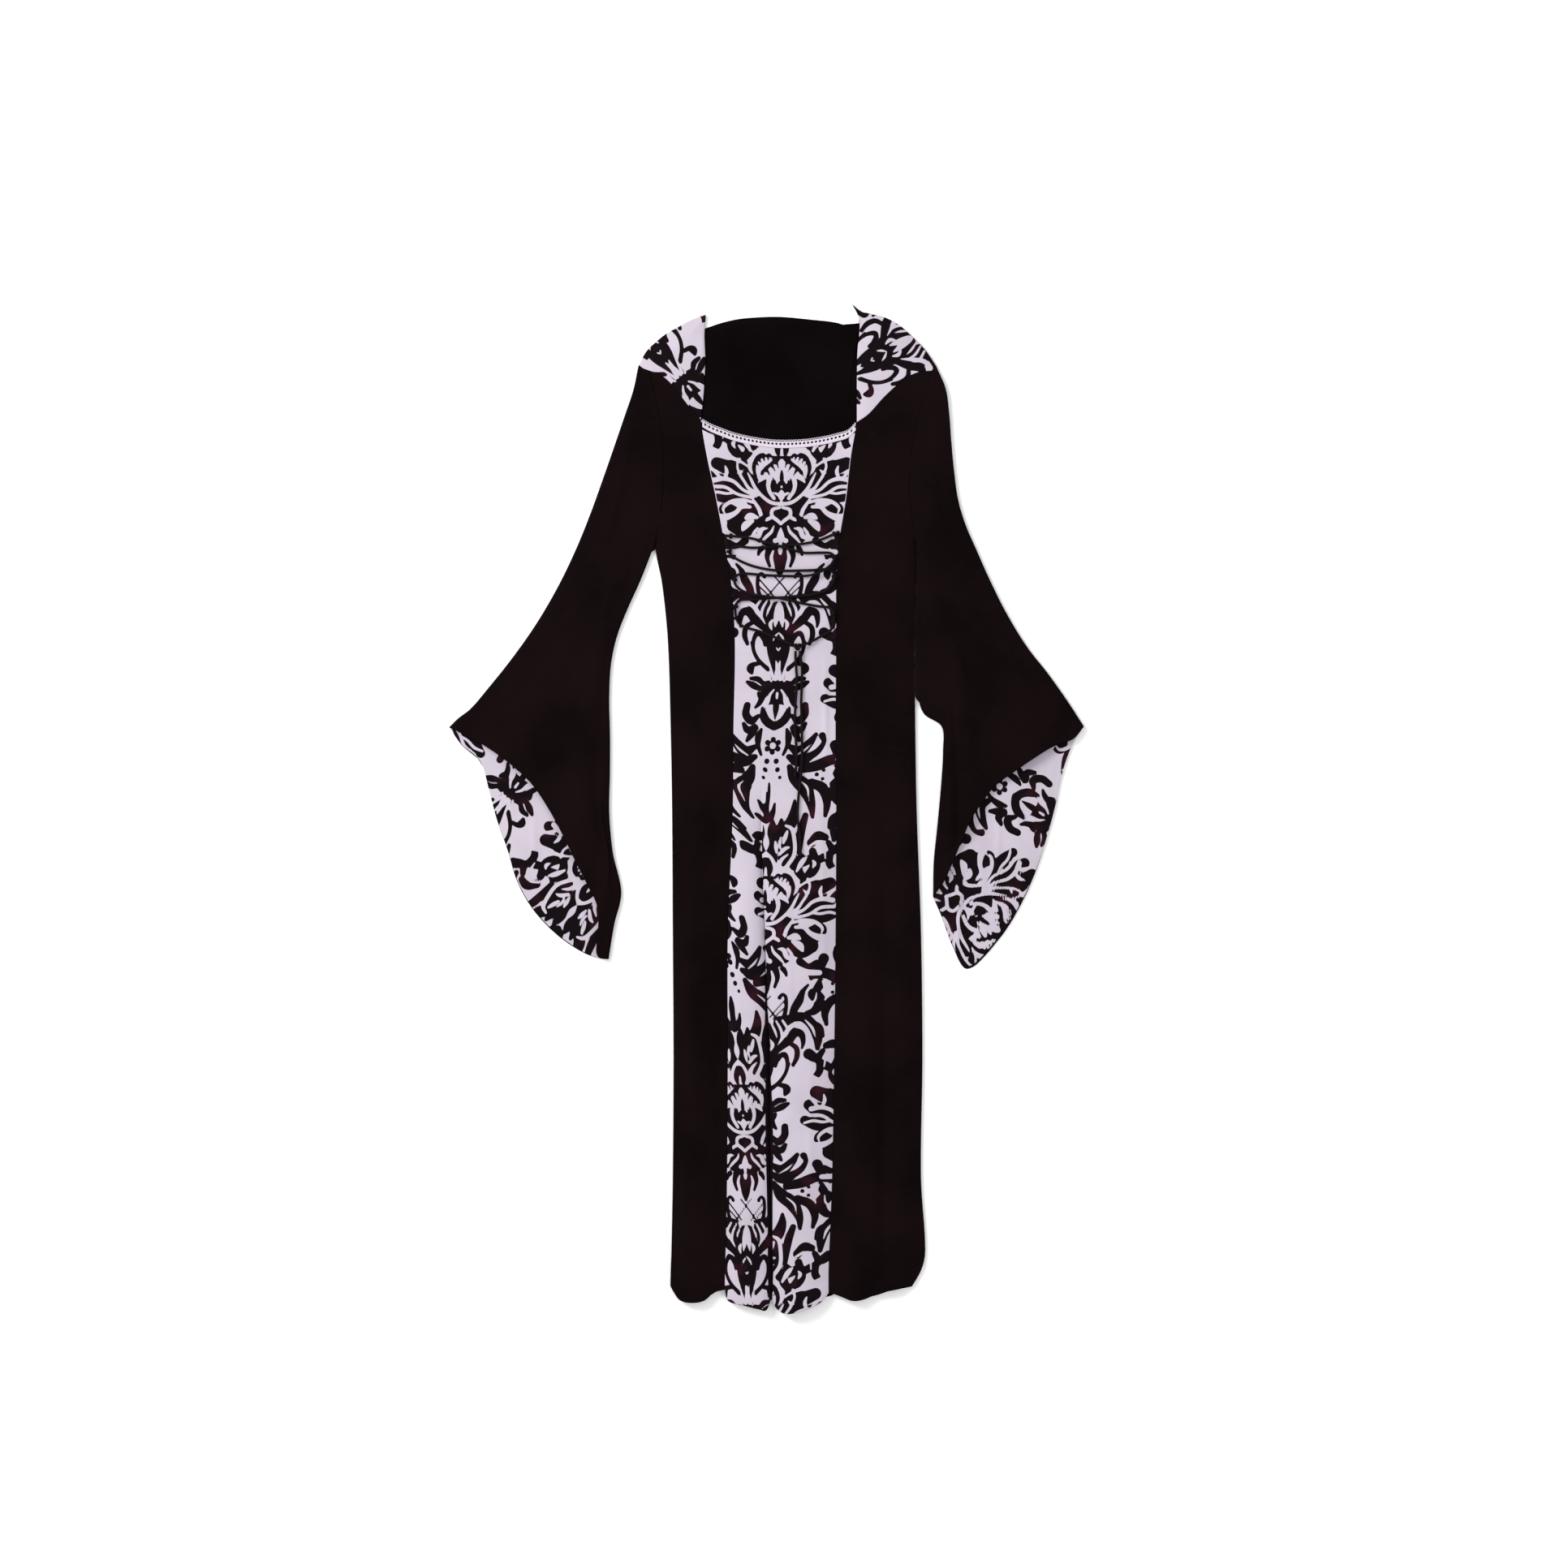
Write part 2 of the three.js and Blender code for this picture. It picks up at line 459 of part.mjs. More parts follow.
// A tube: rings of outer points round rings of inner points, closed by a rim at each open end
function tubeBody(outerRings, innerRings) {
  const [rings, sides] = [outerRings.length, outerRings[0].length];
  const count = rings * sides;
  const at = (j, i) => j * sides + (i % sides);
  const faces = [];
  for (let i = 0; i < sides; i += 1) {
    for (let j = 0; j + 1 < rings; j += 1) {
      const cell = [at(j + 1, i), at(j + 1, i + 1), at(j, i + 1), at(j, i)];
      faces.push(cell, cell.map((k) => k + count).reverse());
    }
    faces.push([at(0, i), at(0, i + 1), at(0, i + 1) + count, at(0, i) + count]);
    const [from, to] = [at(rings - 1, i), at(rings - 1, i + 1)];
    faces.push([to, from, from + count, to + count]);
  }
  return closedBody([...outerRings.flat(), ...innerRings.flat()], faces);
}

function piece(name, geometry, finish) {
  const material = new THREE.MeshStandardMaterial({ ...FINISH[finish], metalness: 0 });
  const mesh = new THREE.Mesh(geometry, material);
  mesh.name = name;
  return mesh;
}

// A front panel: its flat shape raised to the height of the front, half a gap in from each seam
function frontPanel(name, flat, finish) {
  const columns = flat[0].length;
  const parted = flat.map((row) => row.map((p, i) => {
    if (i > 0 && i < columns - 1) return p;
    return { x: p.x + (i === 0 ? GAP / 2 : -GAP / 2), y: p.y };
  }));
  const outer = parted.map((row) => row.map((p) => ({ ...p, z: frontHeight(p) })));
  const inner = outer.map((row) => row.map((p) => (
    { ...p, z: Math.max(FRONT_BASE, p.z - leaningWall(frontHeight, p)) })));
  return piece(name, sheetBody(outer, inner), finish);
}

function sidePanels() {
  const left = patch(
    pathAt(YOKE_LEFT.seam, SIDE_SHARES), pathAt(HEM_SIDE_LEFT, SIDE_SHARES), SIDE_EDGE_LEFT, SEAM_EDGE_LEFT,
  );
  const shares = reversed(SIDE_SHARES);
  const right = patch(
    pathAt(YOKE_RIGHT.seam, shares), pathAt(HEM_SIDE_RIGHT, shares), SEAM_EDGE_RIGHT, SIDE_EDGE_RIGHT,
  );
  return [frontPanel('front_side_left', left, 'velvet'), frontPanel('front_side_right', right, 'velvet')];
}

// The centre panel is two rolls that meet in the crease
function centerPanel() {
  const left = patch(
    pathAt(NECKLINE_LEFT, ROLL_LEFT_SHARES), pathAt(HEM_ROLL_LEFT, ROLL_LEFT_SHARES),
    SEAM_EDGE_LEFT, CREASE_EDGE,
  );
  const right = patch(
    pathAt(NECKLINE_RIGHT, ROLL_RIGHT_SHARES), pathAt(HEM_ROLL_RIGHT, ROLL_RIGHT_SHARES),
    CREASE_EDGE, SEAM_EDGE_RIGHT,
  );
  return frontPanel('center_panel', left.map((row, j) => [...row, ...right[j].slice(1)]), 'damask');
}

// A yoke stands a gap above its seam to the front, with its neck edge on one side and its short
// edge at the armhole on the other
function yoke(name, edges, shares) {
  const seam = edges.seam.map((p) => ({ x: p.x, y: p.y + SEAM_LIFT }));
  const neckOnLeft = edges.neck[0].x === edges.shoulder[0].x;
  const neckEdge = [...edges.neck.slice(0, -1), neckOnLeft ? seam[0] : seam.at(-1)];
  const armEdge = neckOnLeft ? [edges.shoulder.at(-1), seam.at(-1)] : [edges.shoulder[0], seam[0]];
  const [leftEdge, rightEdge] = neckOnLeft ? [neckEdge, armEdge] : [armEdge, neckEdge];
  const flat = patch(
    pathAt(edges.shoulder, shares), pathAt(seam, shares),
    pathAt(leftEdge, YOKE_SHARES), pathAt(rightEdge, YOKE_SHARES),
  );
  return frontPanel(name, flat, 'damask');
}

// The back: one flat panel, just inside the outline of the front, that fills the neck opening
function backPanel() {
  const inset = (path, dx) => path.map((p) => ({ x: p.x + dx, y: p.y - BACK_INSET }));
  const shoulderLeft = inset(YOKE_LEFT.shoulder.slice(1, -1), BACK_INSET);
  const shoulderRight = inset(YOKE_RIGHT.shoulder.slice(1, -1), -BACK_INSET);
  const hem = (path) => path.map((p) => ({ x: p.x, y: p.y + BACK_HEM_LIFT }));
  const sideLeft = SIDE_EDGE_LEFT.slice(0, -1).map((p) => ({ x: p.x + GAP / 2, y: p.y }));
  const sideRight = SIDE_EDGE_RIGHT.slice(0, -1).map((p) => ({ x: p.x - GAP / 2, y: p.y }));
  const hems = hem([
    ...HEM_SIDE_LEFT.slice(1), HEM_ROLL_LEFT[1], ...HEM_ROLL_RIGHT.slice(-2), ...HEM_SIDE_RIGHT.slice(1),
  ]);
  const [tipLeft, tipRight] = [YOKE_LEFT.shoulder[0], YOKE_RIGHT.shoulder.at(-1)];
  const outline = [
    { x: tipLeft.x + BACK_INSET, y: tipLeft.y - GAP }, ...shoulderLeft, ...BACK_NECK,
    ...shoulderRight, { x: tipRight.x - BACK_INSET, y: tipRight.y - GAP },
    ...sideRight, ...hems.reverse(), ...sideLeft.reverse(),
  ];
  const shape = new THREE.Shape(outline.map((p) => new THREE.Vector2(p.x, p.y)));
  const geometry = new THREE.ExtrudeGeometry(shape, { depth: WALL, bevelEnabled: false });
  return piece('back_panel', geometry, 'velvet');
}

// The armhole: from the shoulder fold past the end of the yoke and down the front's side edge, in
// straight stretches that end where the front's rows do
function armhole(shoulder, sideEdge, outward) {
  const corners = [shoulder, ...sideEdge.slice(0, BODICE_ROWS)];
  const points = [corners[0]];
  ARMHOLE_SPLITS.forEach((parts, k) => {
    for (let n = 1; n <= parts; n += 1) {
      const [a, b] = [corners[k], corners[k + 1]];
      points.push({ x: mix(a.x, b.x, n / parts), y: mix(a.y, b.y, n / parts) });
    }
  });
  return points.map((p) => ({ x: p.x + outward * GAP, y: p.y - GAP }));
}

// The two layers of a sleeve as flat shapes that share its outer and inner fold
function sleeveLayers(rings, cuff, hole) {
  const outerFold = rings.map((ring) => ({ x: ring.outerX, y: ring.outerY }));
  const innerFold = rings.map((ring) => ({ x: ring.innerX, y: ring.innerY }));
  outerFold[0] = hole[0];
  innerFold[0] = hole.at(-1);
  const upperCuff = cuff.map((row) => ({ x: row.upperX, y: row.upperY }));
  const lowerCuff = cuff.map((row) => ({ x: row.lowerX, y: row.lowerY }));
  return {
    folds: [outerFold, innerFold],
    upper: patch(hole, upperCuff, outerFold, innerFold),
    lower: patch(hole, lowerCuff, outerFold, innerFold),
  };
}

// A point a short way in from a fold towards the next column
function inFrom(fold, next, distance, z) {
  const along = distance / flatDistance(fold, next);
  return { x: mix(fold.x, next.x, along), y: mix(fold.y, next.y, along), z };
}

// Height of a sleeve's upper layer: level with the front at the armhole, crowned and fluted below
function sleeveHeight(layers, point, across, along) {
  const rounding = 1 - Math.exp(-distanceTo(layers.folds, point) / SLEEVE_REACH);
  const crown = SLEEVE_EDGE + SLEEVE_RISE * rounding;
  const flutes = SLEEVE_FOLDS.reduce((sum, fold) => {
    const offset = clamp(Math.abs(across - fold.across) / fold.halfWidth);
    return sum + fold.height * smooth((along - fold.start) / (1 - fold.start)) * (1 - offset ** 2) ** 2;
  }, 0);
  const rings = layers.upper.length - 1;
  const joined = Math.max(SLEEVE_EDGE, frontHeight(point));
  return mix(joined, crown + flutes, smooth((along * rings) / SLEEVE_BLEND_RINGS));
}

// One ring of a sleeve's tube: half circles at the folds, the fluted layer above, the flat one below.
// The inner ring is the same, a wall's thickness further in.
function sleeveRing(layers, j, wall) {
  const [upper, lower] = [layers.upper[j], layers.lower[j]];
  const last = upper.length - 1;
  const middle = SLEEVE_EDGE / 2;
  const radius = middle - wall;
  const along = j / (layers.upper.length - 1);
  const turn = (fold, next, reach, rise) => (
    inFrom(fold, next, wall + radius * reach, middle + radius * rise));
  const above = upper.slice(1, -1).map((p, i) => (
    { ...p, z: sleeveHeight(layers, p, (i + 1) / last, along) - wall }));
  const below = lower.slice(1, -1).map((p) => ({ ...p, z: wall })).reverse();
  return [
    turn(upper[0], upper[1], 0, 0), turn(upper[0], upper[1], 0.3, 0.7), turn(upper[0], upper[1], 1, 1),
    ...above,
    turn(upper[last], upper[last - 1], 1, 1), turn(upper[last], upper[last - 1], 0.3, 0.7),
    turn(upper[last], upper[last - 1], 0, 0),
    turn(lower[last], lower[last - 1], 0.3, -0.7), turn(lower[last], lower[last - 1], 1, -1),
    ...below,
    turn(lower[0], lower[1], 1, -1), turn(lower[0], lower[1], 0.3, -0.7),
  ];
}

function sleeve(name, layers) {
  const outer = layers.upper.map((_, j) => sleeveRing(layers, j, 0));
  const inner = layers.upper.map((_, j) => sleeveRing(layers, j, WALL));
  return piece(name, tubeBody(outer, inner), 'velvet');
}

// The lining lies on the lower layer, from inside the cuff to just short of its edge
function sleeveLining(name, layers) {
  const rows = layers.lower.slice(LINING_FIRST_RING).map((row) => {
    const last = row.length - 1;
    const ends = [[0, 1], [last, last - 1]].map(([a, b]) => ({
      x: mix(row[a].x, row[b].x, LINING_EDGE_SHARE), y: mix(row[a].y, row[b].y, LINING_EDGE_SHARE),
    }));
    return [ends[0], ...row.slice(1, -1), ends[1]];
  });
  const [before, hem] = rows.slice(-2);
  rows[rows.length - 1] = hem.map((p, i) => {
    const { x, y } = inFrom(p, before[i], LINING_HEM_INSET, 0);
    return { x, y };
  });
  const base = WALL + GAP;
  const outer = rows.map((row) => row.map((p) => ({ ...p, z: base + LINING_WALL })));
  const inner = rows.map((row) => row.map((p) => ({ ...p, z: base })));
  return piece(name, sheetBody(outer, inner), 'damask');
}

// Height of the top of a finished piece under a point
const WELL_ABOVE = 100;
function topOf(mesh, x, y) {
  const ray = new THREE.Raycaster(new THREE.Vector3(x, y, WELL_ABOVE), new THREE.Vector3(0, 0, -1));
  return ray.intersectObject(mesh)[0]?.point.z ?? frontHeight({ x, y });
}

// The braid lies on the top edge of the centre panel, and its picots stand past the edge
function neckTrim(panel) {
  const steps = PICOTS * 2;
  const shares = Array.from({ length: steps + 1 }, (_, i) => mix(BRAID_END, 1 - BRAID_END, i / steps));
  const edge = pathAt([...NECKLINE_LEFT, ...NECKLINE_RIGHT.slice(1)], shares);
  const rows = [0, 1, 2].map((row) => edge.map((p, i) => {
    const picot = i % 2 ? PICOT_HEIGHT : PICOT_VALLEY;
    const drop = [-picot, BRAID_DEPTH / 3, BRAID_DEPTH][row];
    return { x: p.x, y: p.y - drop };
  }));
  const seat = (p) => Math.max(topOf(panel, p.x, p.y), FRONT_EDGE) + LACE_GAP;
  const base = rows.map((row) => row.map((p) => ({ ...p, z: seat(p) })));
  const top = base.map((row) => row.map((p) => ({ ...p, z: p.z + TRIM_WALL })));
  return piece('neck_trim', sheetBody(top, base), 'braid');
}

// How far a route is lifted at a place counted in its points
function liftAt(route, place) {
  const i = Math.min(Math.floor(place), route.length - 2);
  return mix(route[i].lift, route[i + 1].lift, smooth(place - i));
}

// A round cord that lies on a panel along a route
function cordOn(name, panel, route, steps) {
  const plan = flatCurve(route);
  const count = (route.length - 1) * ROUTE_SAMPLES;
  const points = Array.from({ length: count + 1 }, (_, n) => {
    const { x, y } = plan.getPoint(n / count);
    const rise = LACE_GAP + LACE_RADIUS + liftAt(route, n / ROUTE_SAMPLES);
    return new THREE.Vector3(x, y, topOf(panel, x, y) + rise);
  });
  const path = new THREE.CatmullRomCurve3(points, false, 'centripetal');
  const section = new THREE.Shape(Array.from({ length: LACE_SIDES }, (_, i) => {
    const angle = (2 * Math.PI * i) / LACE_SIDES;
    return new THREE.Vector2(LACE_RADIUS * Math.cos(angle), LACE_RADIUS * Math.sin(angle));
  }));
  return piece(name, new THREE.ExtrudeGeometry(section, { steps, extrudePath: path }), 'cord');
}

// A loop is a short arch of braid across the lace
function laceLoop(panel, { name, lace, at }) {
  const { width, strand, reach, clear } = LOOP;
  const arch = new THREE.Shape();
  arch.moveTo(reach + strand, 0);
  arch.absellipse(0, 0, reach + strand, clear + strand, 0, Math.PI, false);
  arch.lineTo(-reach, 0);
  arch.absellipse(0, 0, reach, clear, Math.PI, 0, true);
  const geometry = new THREE.ExtrudeGeometry(
    arch, { depth: width, bevelEnabled: false, curveSegments: LOOP_SEGMENTS },
  );
  geometry.translate(0, 0, -width / 2);
  geometry.rotateX(Math.PI / 2);
  const plan = flatCurve(lace);
  const { x, y } = plan.getPoint(at / (lace.length - 1));
  const tangent = plan.getTangent(at / (lace.length - 1));
  geometry.rotateZ(Math.atan2(tangent.y, tangent.x) - Math.PI / 2);
  const mesh = piece(name, geometry, 'cord');
  mesh.position.set(x, y, topOf(panel, x, y) + GAP);
  return mesh;
}

function laceKnot(panel) {
  const { x, y, halfWidth, halfLength, halfHeight } = KNOT;
  const geometry = new THREE.SphereGeometry(1, 12, 8);
  geometry.scale(halfWidth, halfLength, halfHeight);
  const mesh = piece('lace_knot', geometry, 'cord');
  mesh.position.set(x, y, topOf(panel, x, y) + LACE_GAP + halfHeight);
  return mesh;
}

const gown = new THREE.Group();
const center = centerPanel();
const holeLeft = armhole(YOKE_LEFT.shoulder[0], SIDE_EDGE_LEFT, -1);
const holeRight = armhole(YOKE_RIGHT.shoulder.at(-1), SIDE_EDGE_RIGHT, 1);
const layersLeft = sleeveLayers(SLEEVE_LEFT_RINGS, CUFF_LEFT, holeLeft);
const layersRight = sleeveLayers(SLEEVE_RIGHT_RINGS, CUFF_RIGHT, holeRight);
gown.add(
  backPanel(), ...sidePanels(), center,
  yoke('yoke_left', YOKE_LEFT, SIDE_SHARES), yoke('yoke_right', YOKE_RIGHT, reversed(SIDE_SHARES)),
  sleeve('sleeve_left', layersLeft), sleeve('sleeve_right', layersRight),
  sleeveLining('sleeve_lining_left', layersLeft), sleeveLining('sleeve_lining_right', layersRight),
  neckTrim(center),
  ...LOOPS.map((loop) => laceLoop(center, loop)),
  cordOn('lace_a', center, LACE_A, 80), cordOn('lace_b', center, LACE_B, 76),
  laceKnot(center),
  cordOn('lace_end_a', center, LACE_END_A, 20), cordOn('lace_end_b', center, LACE_END_B, 32),
);

export default gown;
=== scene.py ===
"""A medieval gown laid flat on its back, dressed over the solids of its part.

Tables are in millimetres, as in the part's source, and meshes are in metres. Left and right are
the left and right of the picture, +Y runs up the gown to its neck and +Z up from the floor.
"""

from __future__ import annotations

import logging
import math
from dataclasses import dataclass, field
from enum import Enum

import bpy
import numpy as np
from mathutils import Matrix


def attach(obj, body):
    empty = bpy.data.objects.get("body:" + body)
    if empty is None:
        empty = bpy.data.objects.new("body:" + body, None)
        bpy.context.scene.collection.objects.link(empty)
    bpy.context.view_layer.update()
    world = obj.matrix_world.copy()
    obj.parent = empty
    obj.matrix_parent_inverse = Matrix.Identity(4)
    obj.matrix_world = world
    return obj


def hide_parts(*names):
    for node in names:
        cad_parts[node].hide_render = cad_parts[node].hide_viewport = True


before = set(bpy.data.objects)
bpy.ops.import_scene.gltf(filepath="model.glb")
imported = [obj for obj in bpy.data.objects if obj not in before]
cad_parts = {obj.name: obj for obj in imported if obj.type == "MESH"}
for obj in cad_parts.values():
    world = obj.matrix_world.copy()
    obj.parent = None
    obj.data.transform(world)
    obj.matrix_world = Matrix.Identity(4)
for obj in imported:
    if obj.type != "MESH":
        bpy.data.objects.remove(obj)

Array = np.ndarray
LOG = logging.getLogger("gown")
MM = 0.001

# Cloth, as in the solids
WALL = 2.0
LINING_WALL = 1.5
GAP = 0.3
FRONT_BASE = WALL + GAP
FRONT_EDGE = FRONT_BASE + WALL
SLEEVE_EDGE = 2 * WALL + GAP + LINING_WALL + 0.5

# The lace and its knot
LACE_RADIUS = 1.8
LACE_GAP = 0.1
OVER = 2 * LACE_RADIUS + 0.6
KNOT_HALF_HEIGHT = 5.0
AT_KNOT = KNOT_HALF_HEIGHT - LACE_RADIUS


# The cut, in the tables of the part's source

# The body: level, left side, left seam, crease, right seam, right side
BODY_SECTIONS = (
    (620, -166, -97, 17, 130, 234), (550, -151, -93, 17, 128, 214), (500, -146, -85, 17, 120, 205),
    (440, -147, -72, 19, 113, 203), (377, -158, -60, 21, 103, 211), (317, -148, -50, 23, 99, 211),
    (237, -140, -45, 20, 99, 210), (110, -136, -47, 2, 98, 211), (-5, -134, -48, -8, 99, 213),
    (-177, -133, -55, -3, 98, 219), (-350, -132, -55, 3, 96, 221), (-522, -133, -56, 5, 93, 219),
    (-626, -135, -58, 7, 89, 225), (-655, -136, -59, 7, 88, 219), (-695, -137, -59, 7, 88, 195),
)
# Edges across the body, x and y from left to right
NECKLINE_LEFT = (
    (-93, 551), (-79, 543), (-64, 537), (-48, 531), (-28, 526), (-5, 522), (17, 520),
)
NECKLINE_RIGHT = (
    (17, 520), (52, 521), (75, 524), (98, 529), (116, 535), (128, 547),
)
HEM_SIDE_LEFT = (
    (-136, -677), (-131, -686), (-122, -697), (-103, -700), (-88, -697), (-74, -686), (-59, -682),
)
HEM_ROLL_LEFT = (
    (-59, -682), (-55, -697), (-30, -704), (-11, -709), (-1, -711), (7, -694),
)
HEM_ROLL_RIGHT = (
    (7, -694), (14, -708), (26, -715), (41, -714), (56, -710), (71, -703), (81, -696), (88, -686),
)
HEM_SIDE_RIGHT = (
    (88, -686), (104, -691), (121, -697), (135, -696), (162, -686), (185, -681), (204, -678),
)
BACK_NECK = (
    (-88, 677), (-82, 682), (-45, 693), (-17, 696), (18, 697), (64, 693), (98, 689), (129, 682),
)
# The yokes: shoulder edge, neck edge and seam to the front
YOKE_LEFT_SHOULDER = (
    (-182, 626), (-171, 647), (-157, 661), (-142, 673), (-124, 683), (-108, 692), (-86, 700),
)
YOKE_LEFT_NECK = (
    (-86, 700), (-88, 673), (-87, 638), (-89, 591), (-93, 551),
)
YOKE_LEFT_SEAM = (
    (-166, 620), (-150, 614), (-131, 597), (-119, 581), (-108, 567), (-93, 551),
)
YOKE_RIGHT_SHOULDER = (
    (121, 715), (135, 704), (165, 697), (188, 685), (201, 674), (224, 651), (240, 628),
)
YOKE_RIGHT_NECK = (
    (121, 715), (131, 696), (132, 680), (129, 650), (128, 605), (128, 547),
)
YOKE_RIGHT_SEAM = (
    (128, 547), (144, 558), (166, 582), (183, 598), (200, 611), (216, 618), (234, 620),
)
# The sleeves ring by ring: outer fold x and y, inner fold x and y
SLEEVE_LEFT_RINGS = (
    (-182, 626, -158, 377), (-189, 593, -168, 350), (-200, 560, -181, 318), (-213, 522, -196, 285),
    (-230, 473, -211, 247), (-249, 420, -220, 208), (-270, 368, -223, 160), (-296, 314, -222, 105),
    (-327, 261, -222, 50), (-360, 214, -223, -5), (-391, 175, -218, -62), (-420, 141, -206, -120),
    (-438, 127, -216, -165), (-450, 115, -224, -214),
)
SLEEVE_RIGHT_RINGS = (
    (240, 628, 211, 377), (254, 595, 215, 345), (259, 560, 214.5, 310), (262, 520, 213, 272),
    (266, 478, 213, 235), (272, 436, 213.5, 198), (283, 400, 214, 163), (296, 370, 223, 134),
    (316, 325, 248, 116), (341, 275, 250, 80), (370, 228, 247, 30), (399, 191, 242, -25),
    (426, 153, 237, -75), (450, 116, 236, -125),
)
# The cuffs from the outer to the inner fold: upper layer x and y, lower layer x and y
CUFF_LEFT = (
    (-450, 115, -450, 115), (-424, 102, -432, 89), (-392, 84, -405, 65), (-361, 61, -393, 25),
    (-333, 35, -382, -18), (-310, 1, -367, -60), (-289, -37, -355, -101), (-272, -72, -336, -137),
    (-254, -108, -311, -167), (-238, -145, -281, -192), (-239, -210, -250, -209),
    (-224, -214, -224, -214),
)
CUFF_RIGHT = (
    (450, 116, 450, 116), (434, 98, 432, 88), (409, 89, 417, 45), (379, 71, 408, 0),
    (350, 51, 397, -42), (324, 32, 383, -86), (306, 9, 362, -134), (288, -18, 331, -184),
    (276, -47, 284, -228), (264, -76, 264, -196), (251, -104, 250, -158), (236, -125, 236, -125),
)
# Flutes of a sleeve: share across, half width, where it starts down the sleeve, height
SLEEVE_FOLDS = (
    (0.28, 0.16, 0.35, 4), (0.62, 0.15, 0.2, 5), (0.86, 0.1, 0.5, 3),
)
# The lace: x, y and how far it is lifted over another cord or into the knot
LACE_A = (
    (-59, 386, 0), (-42, 385, 0), (-20, 382, 0), (0, 376, OVER), (33, 367, OVER), (52, 362, 0),
    (78, 362, 0), (91, 361, 0), (96, 356, 0), (94, 349, 0), (88, 342, OVER), (67, 331, OVER),
    (48, 329, 0), (0, 330, 0), (-36, 332, 0), (-44, 328, 0), (-45, 319, 0), (-39, 311, 0),
    (-25, 304, 0), (-9, 301, OVER), (15, 298, OVER), (34, 294, OVER), (52, 290, 0), (74, 286, 0),
    (89, 284, 0), (94, 278, 0), (95, 264, 0), (91, 253, 0), (74, 242, 0), (61, 235, AT_KNOT - 1),
    (52.2, 230.8, AT_KNOT),
)
LACE_B = (
    (103, 392, 0), (88, 385, 0), (65, 377, 0), (16, 371, 0), (-20, 369, 0), (-46, 370.5, 0),
    (-53, 363.5, 0), (-46, 355.5, 0), (-22, 344, 0), (13, 337, 0), (60, 337, 0), (86, 338, 0),
    (95, 333, 0), (95, 323, 0), (86, 310, 0), (66, 303, 0), (40, 300, 0), (12, 298, 0), (-20, 296, 0),
    (-39, 294, 0), (-44, 286, 0), (-43, 270, 0), (-37, 260, 0), (-8, 250, 0), (22, 238, AT_KNOT - 1),
    (36, 231.8, AT_KNOT),
)
LACE_END_A = (
    (41, 222.8, AT_KNOT), (41, 212, 1), (42, 198, 0), (43, 178, 0), (41, 150, 0), (40, 118, 0),
    (42, 88, 0), (42, 62, 0), (40, 44, 0),
)
LACE_END_B = (
    (47, 222.9, AT_KNOT), (48.5, 212, 1), (50, 198, 0), (50, 178, 0), (49, 150, 0), (50, 110, 0),
    (50, 70, 0), (48, 41, 0), (45, 14, 0), (44, -12, 0), (47, -40, 0), (48, -68, 0),
)
# The loops of each side from the top: the lace that each holds, and the place in its rows
LOOPS = {
    "left": ((LACE_A, 0.5), (LACE_B, 6), (LACE_A, 15.5), (LACE_B, 20), (LACE_B, 21)),
    "right": ((LACE_B, 0.5), (LACE_A, 8), (LACE_B, 12.5), (LACE_A, 25.2), (LACE_A, 26)),
}
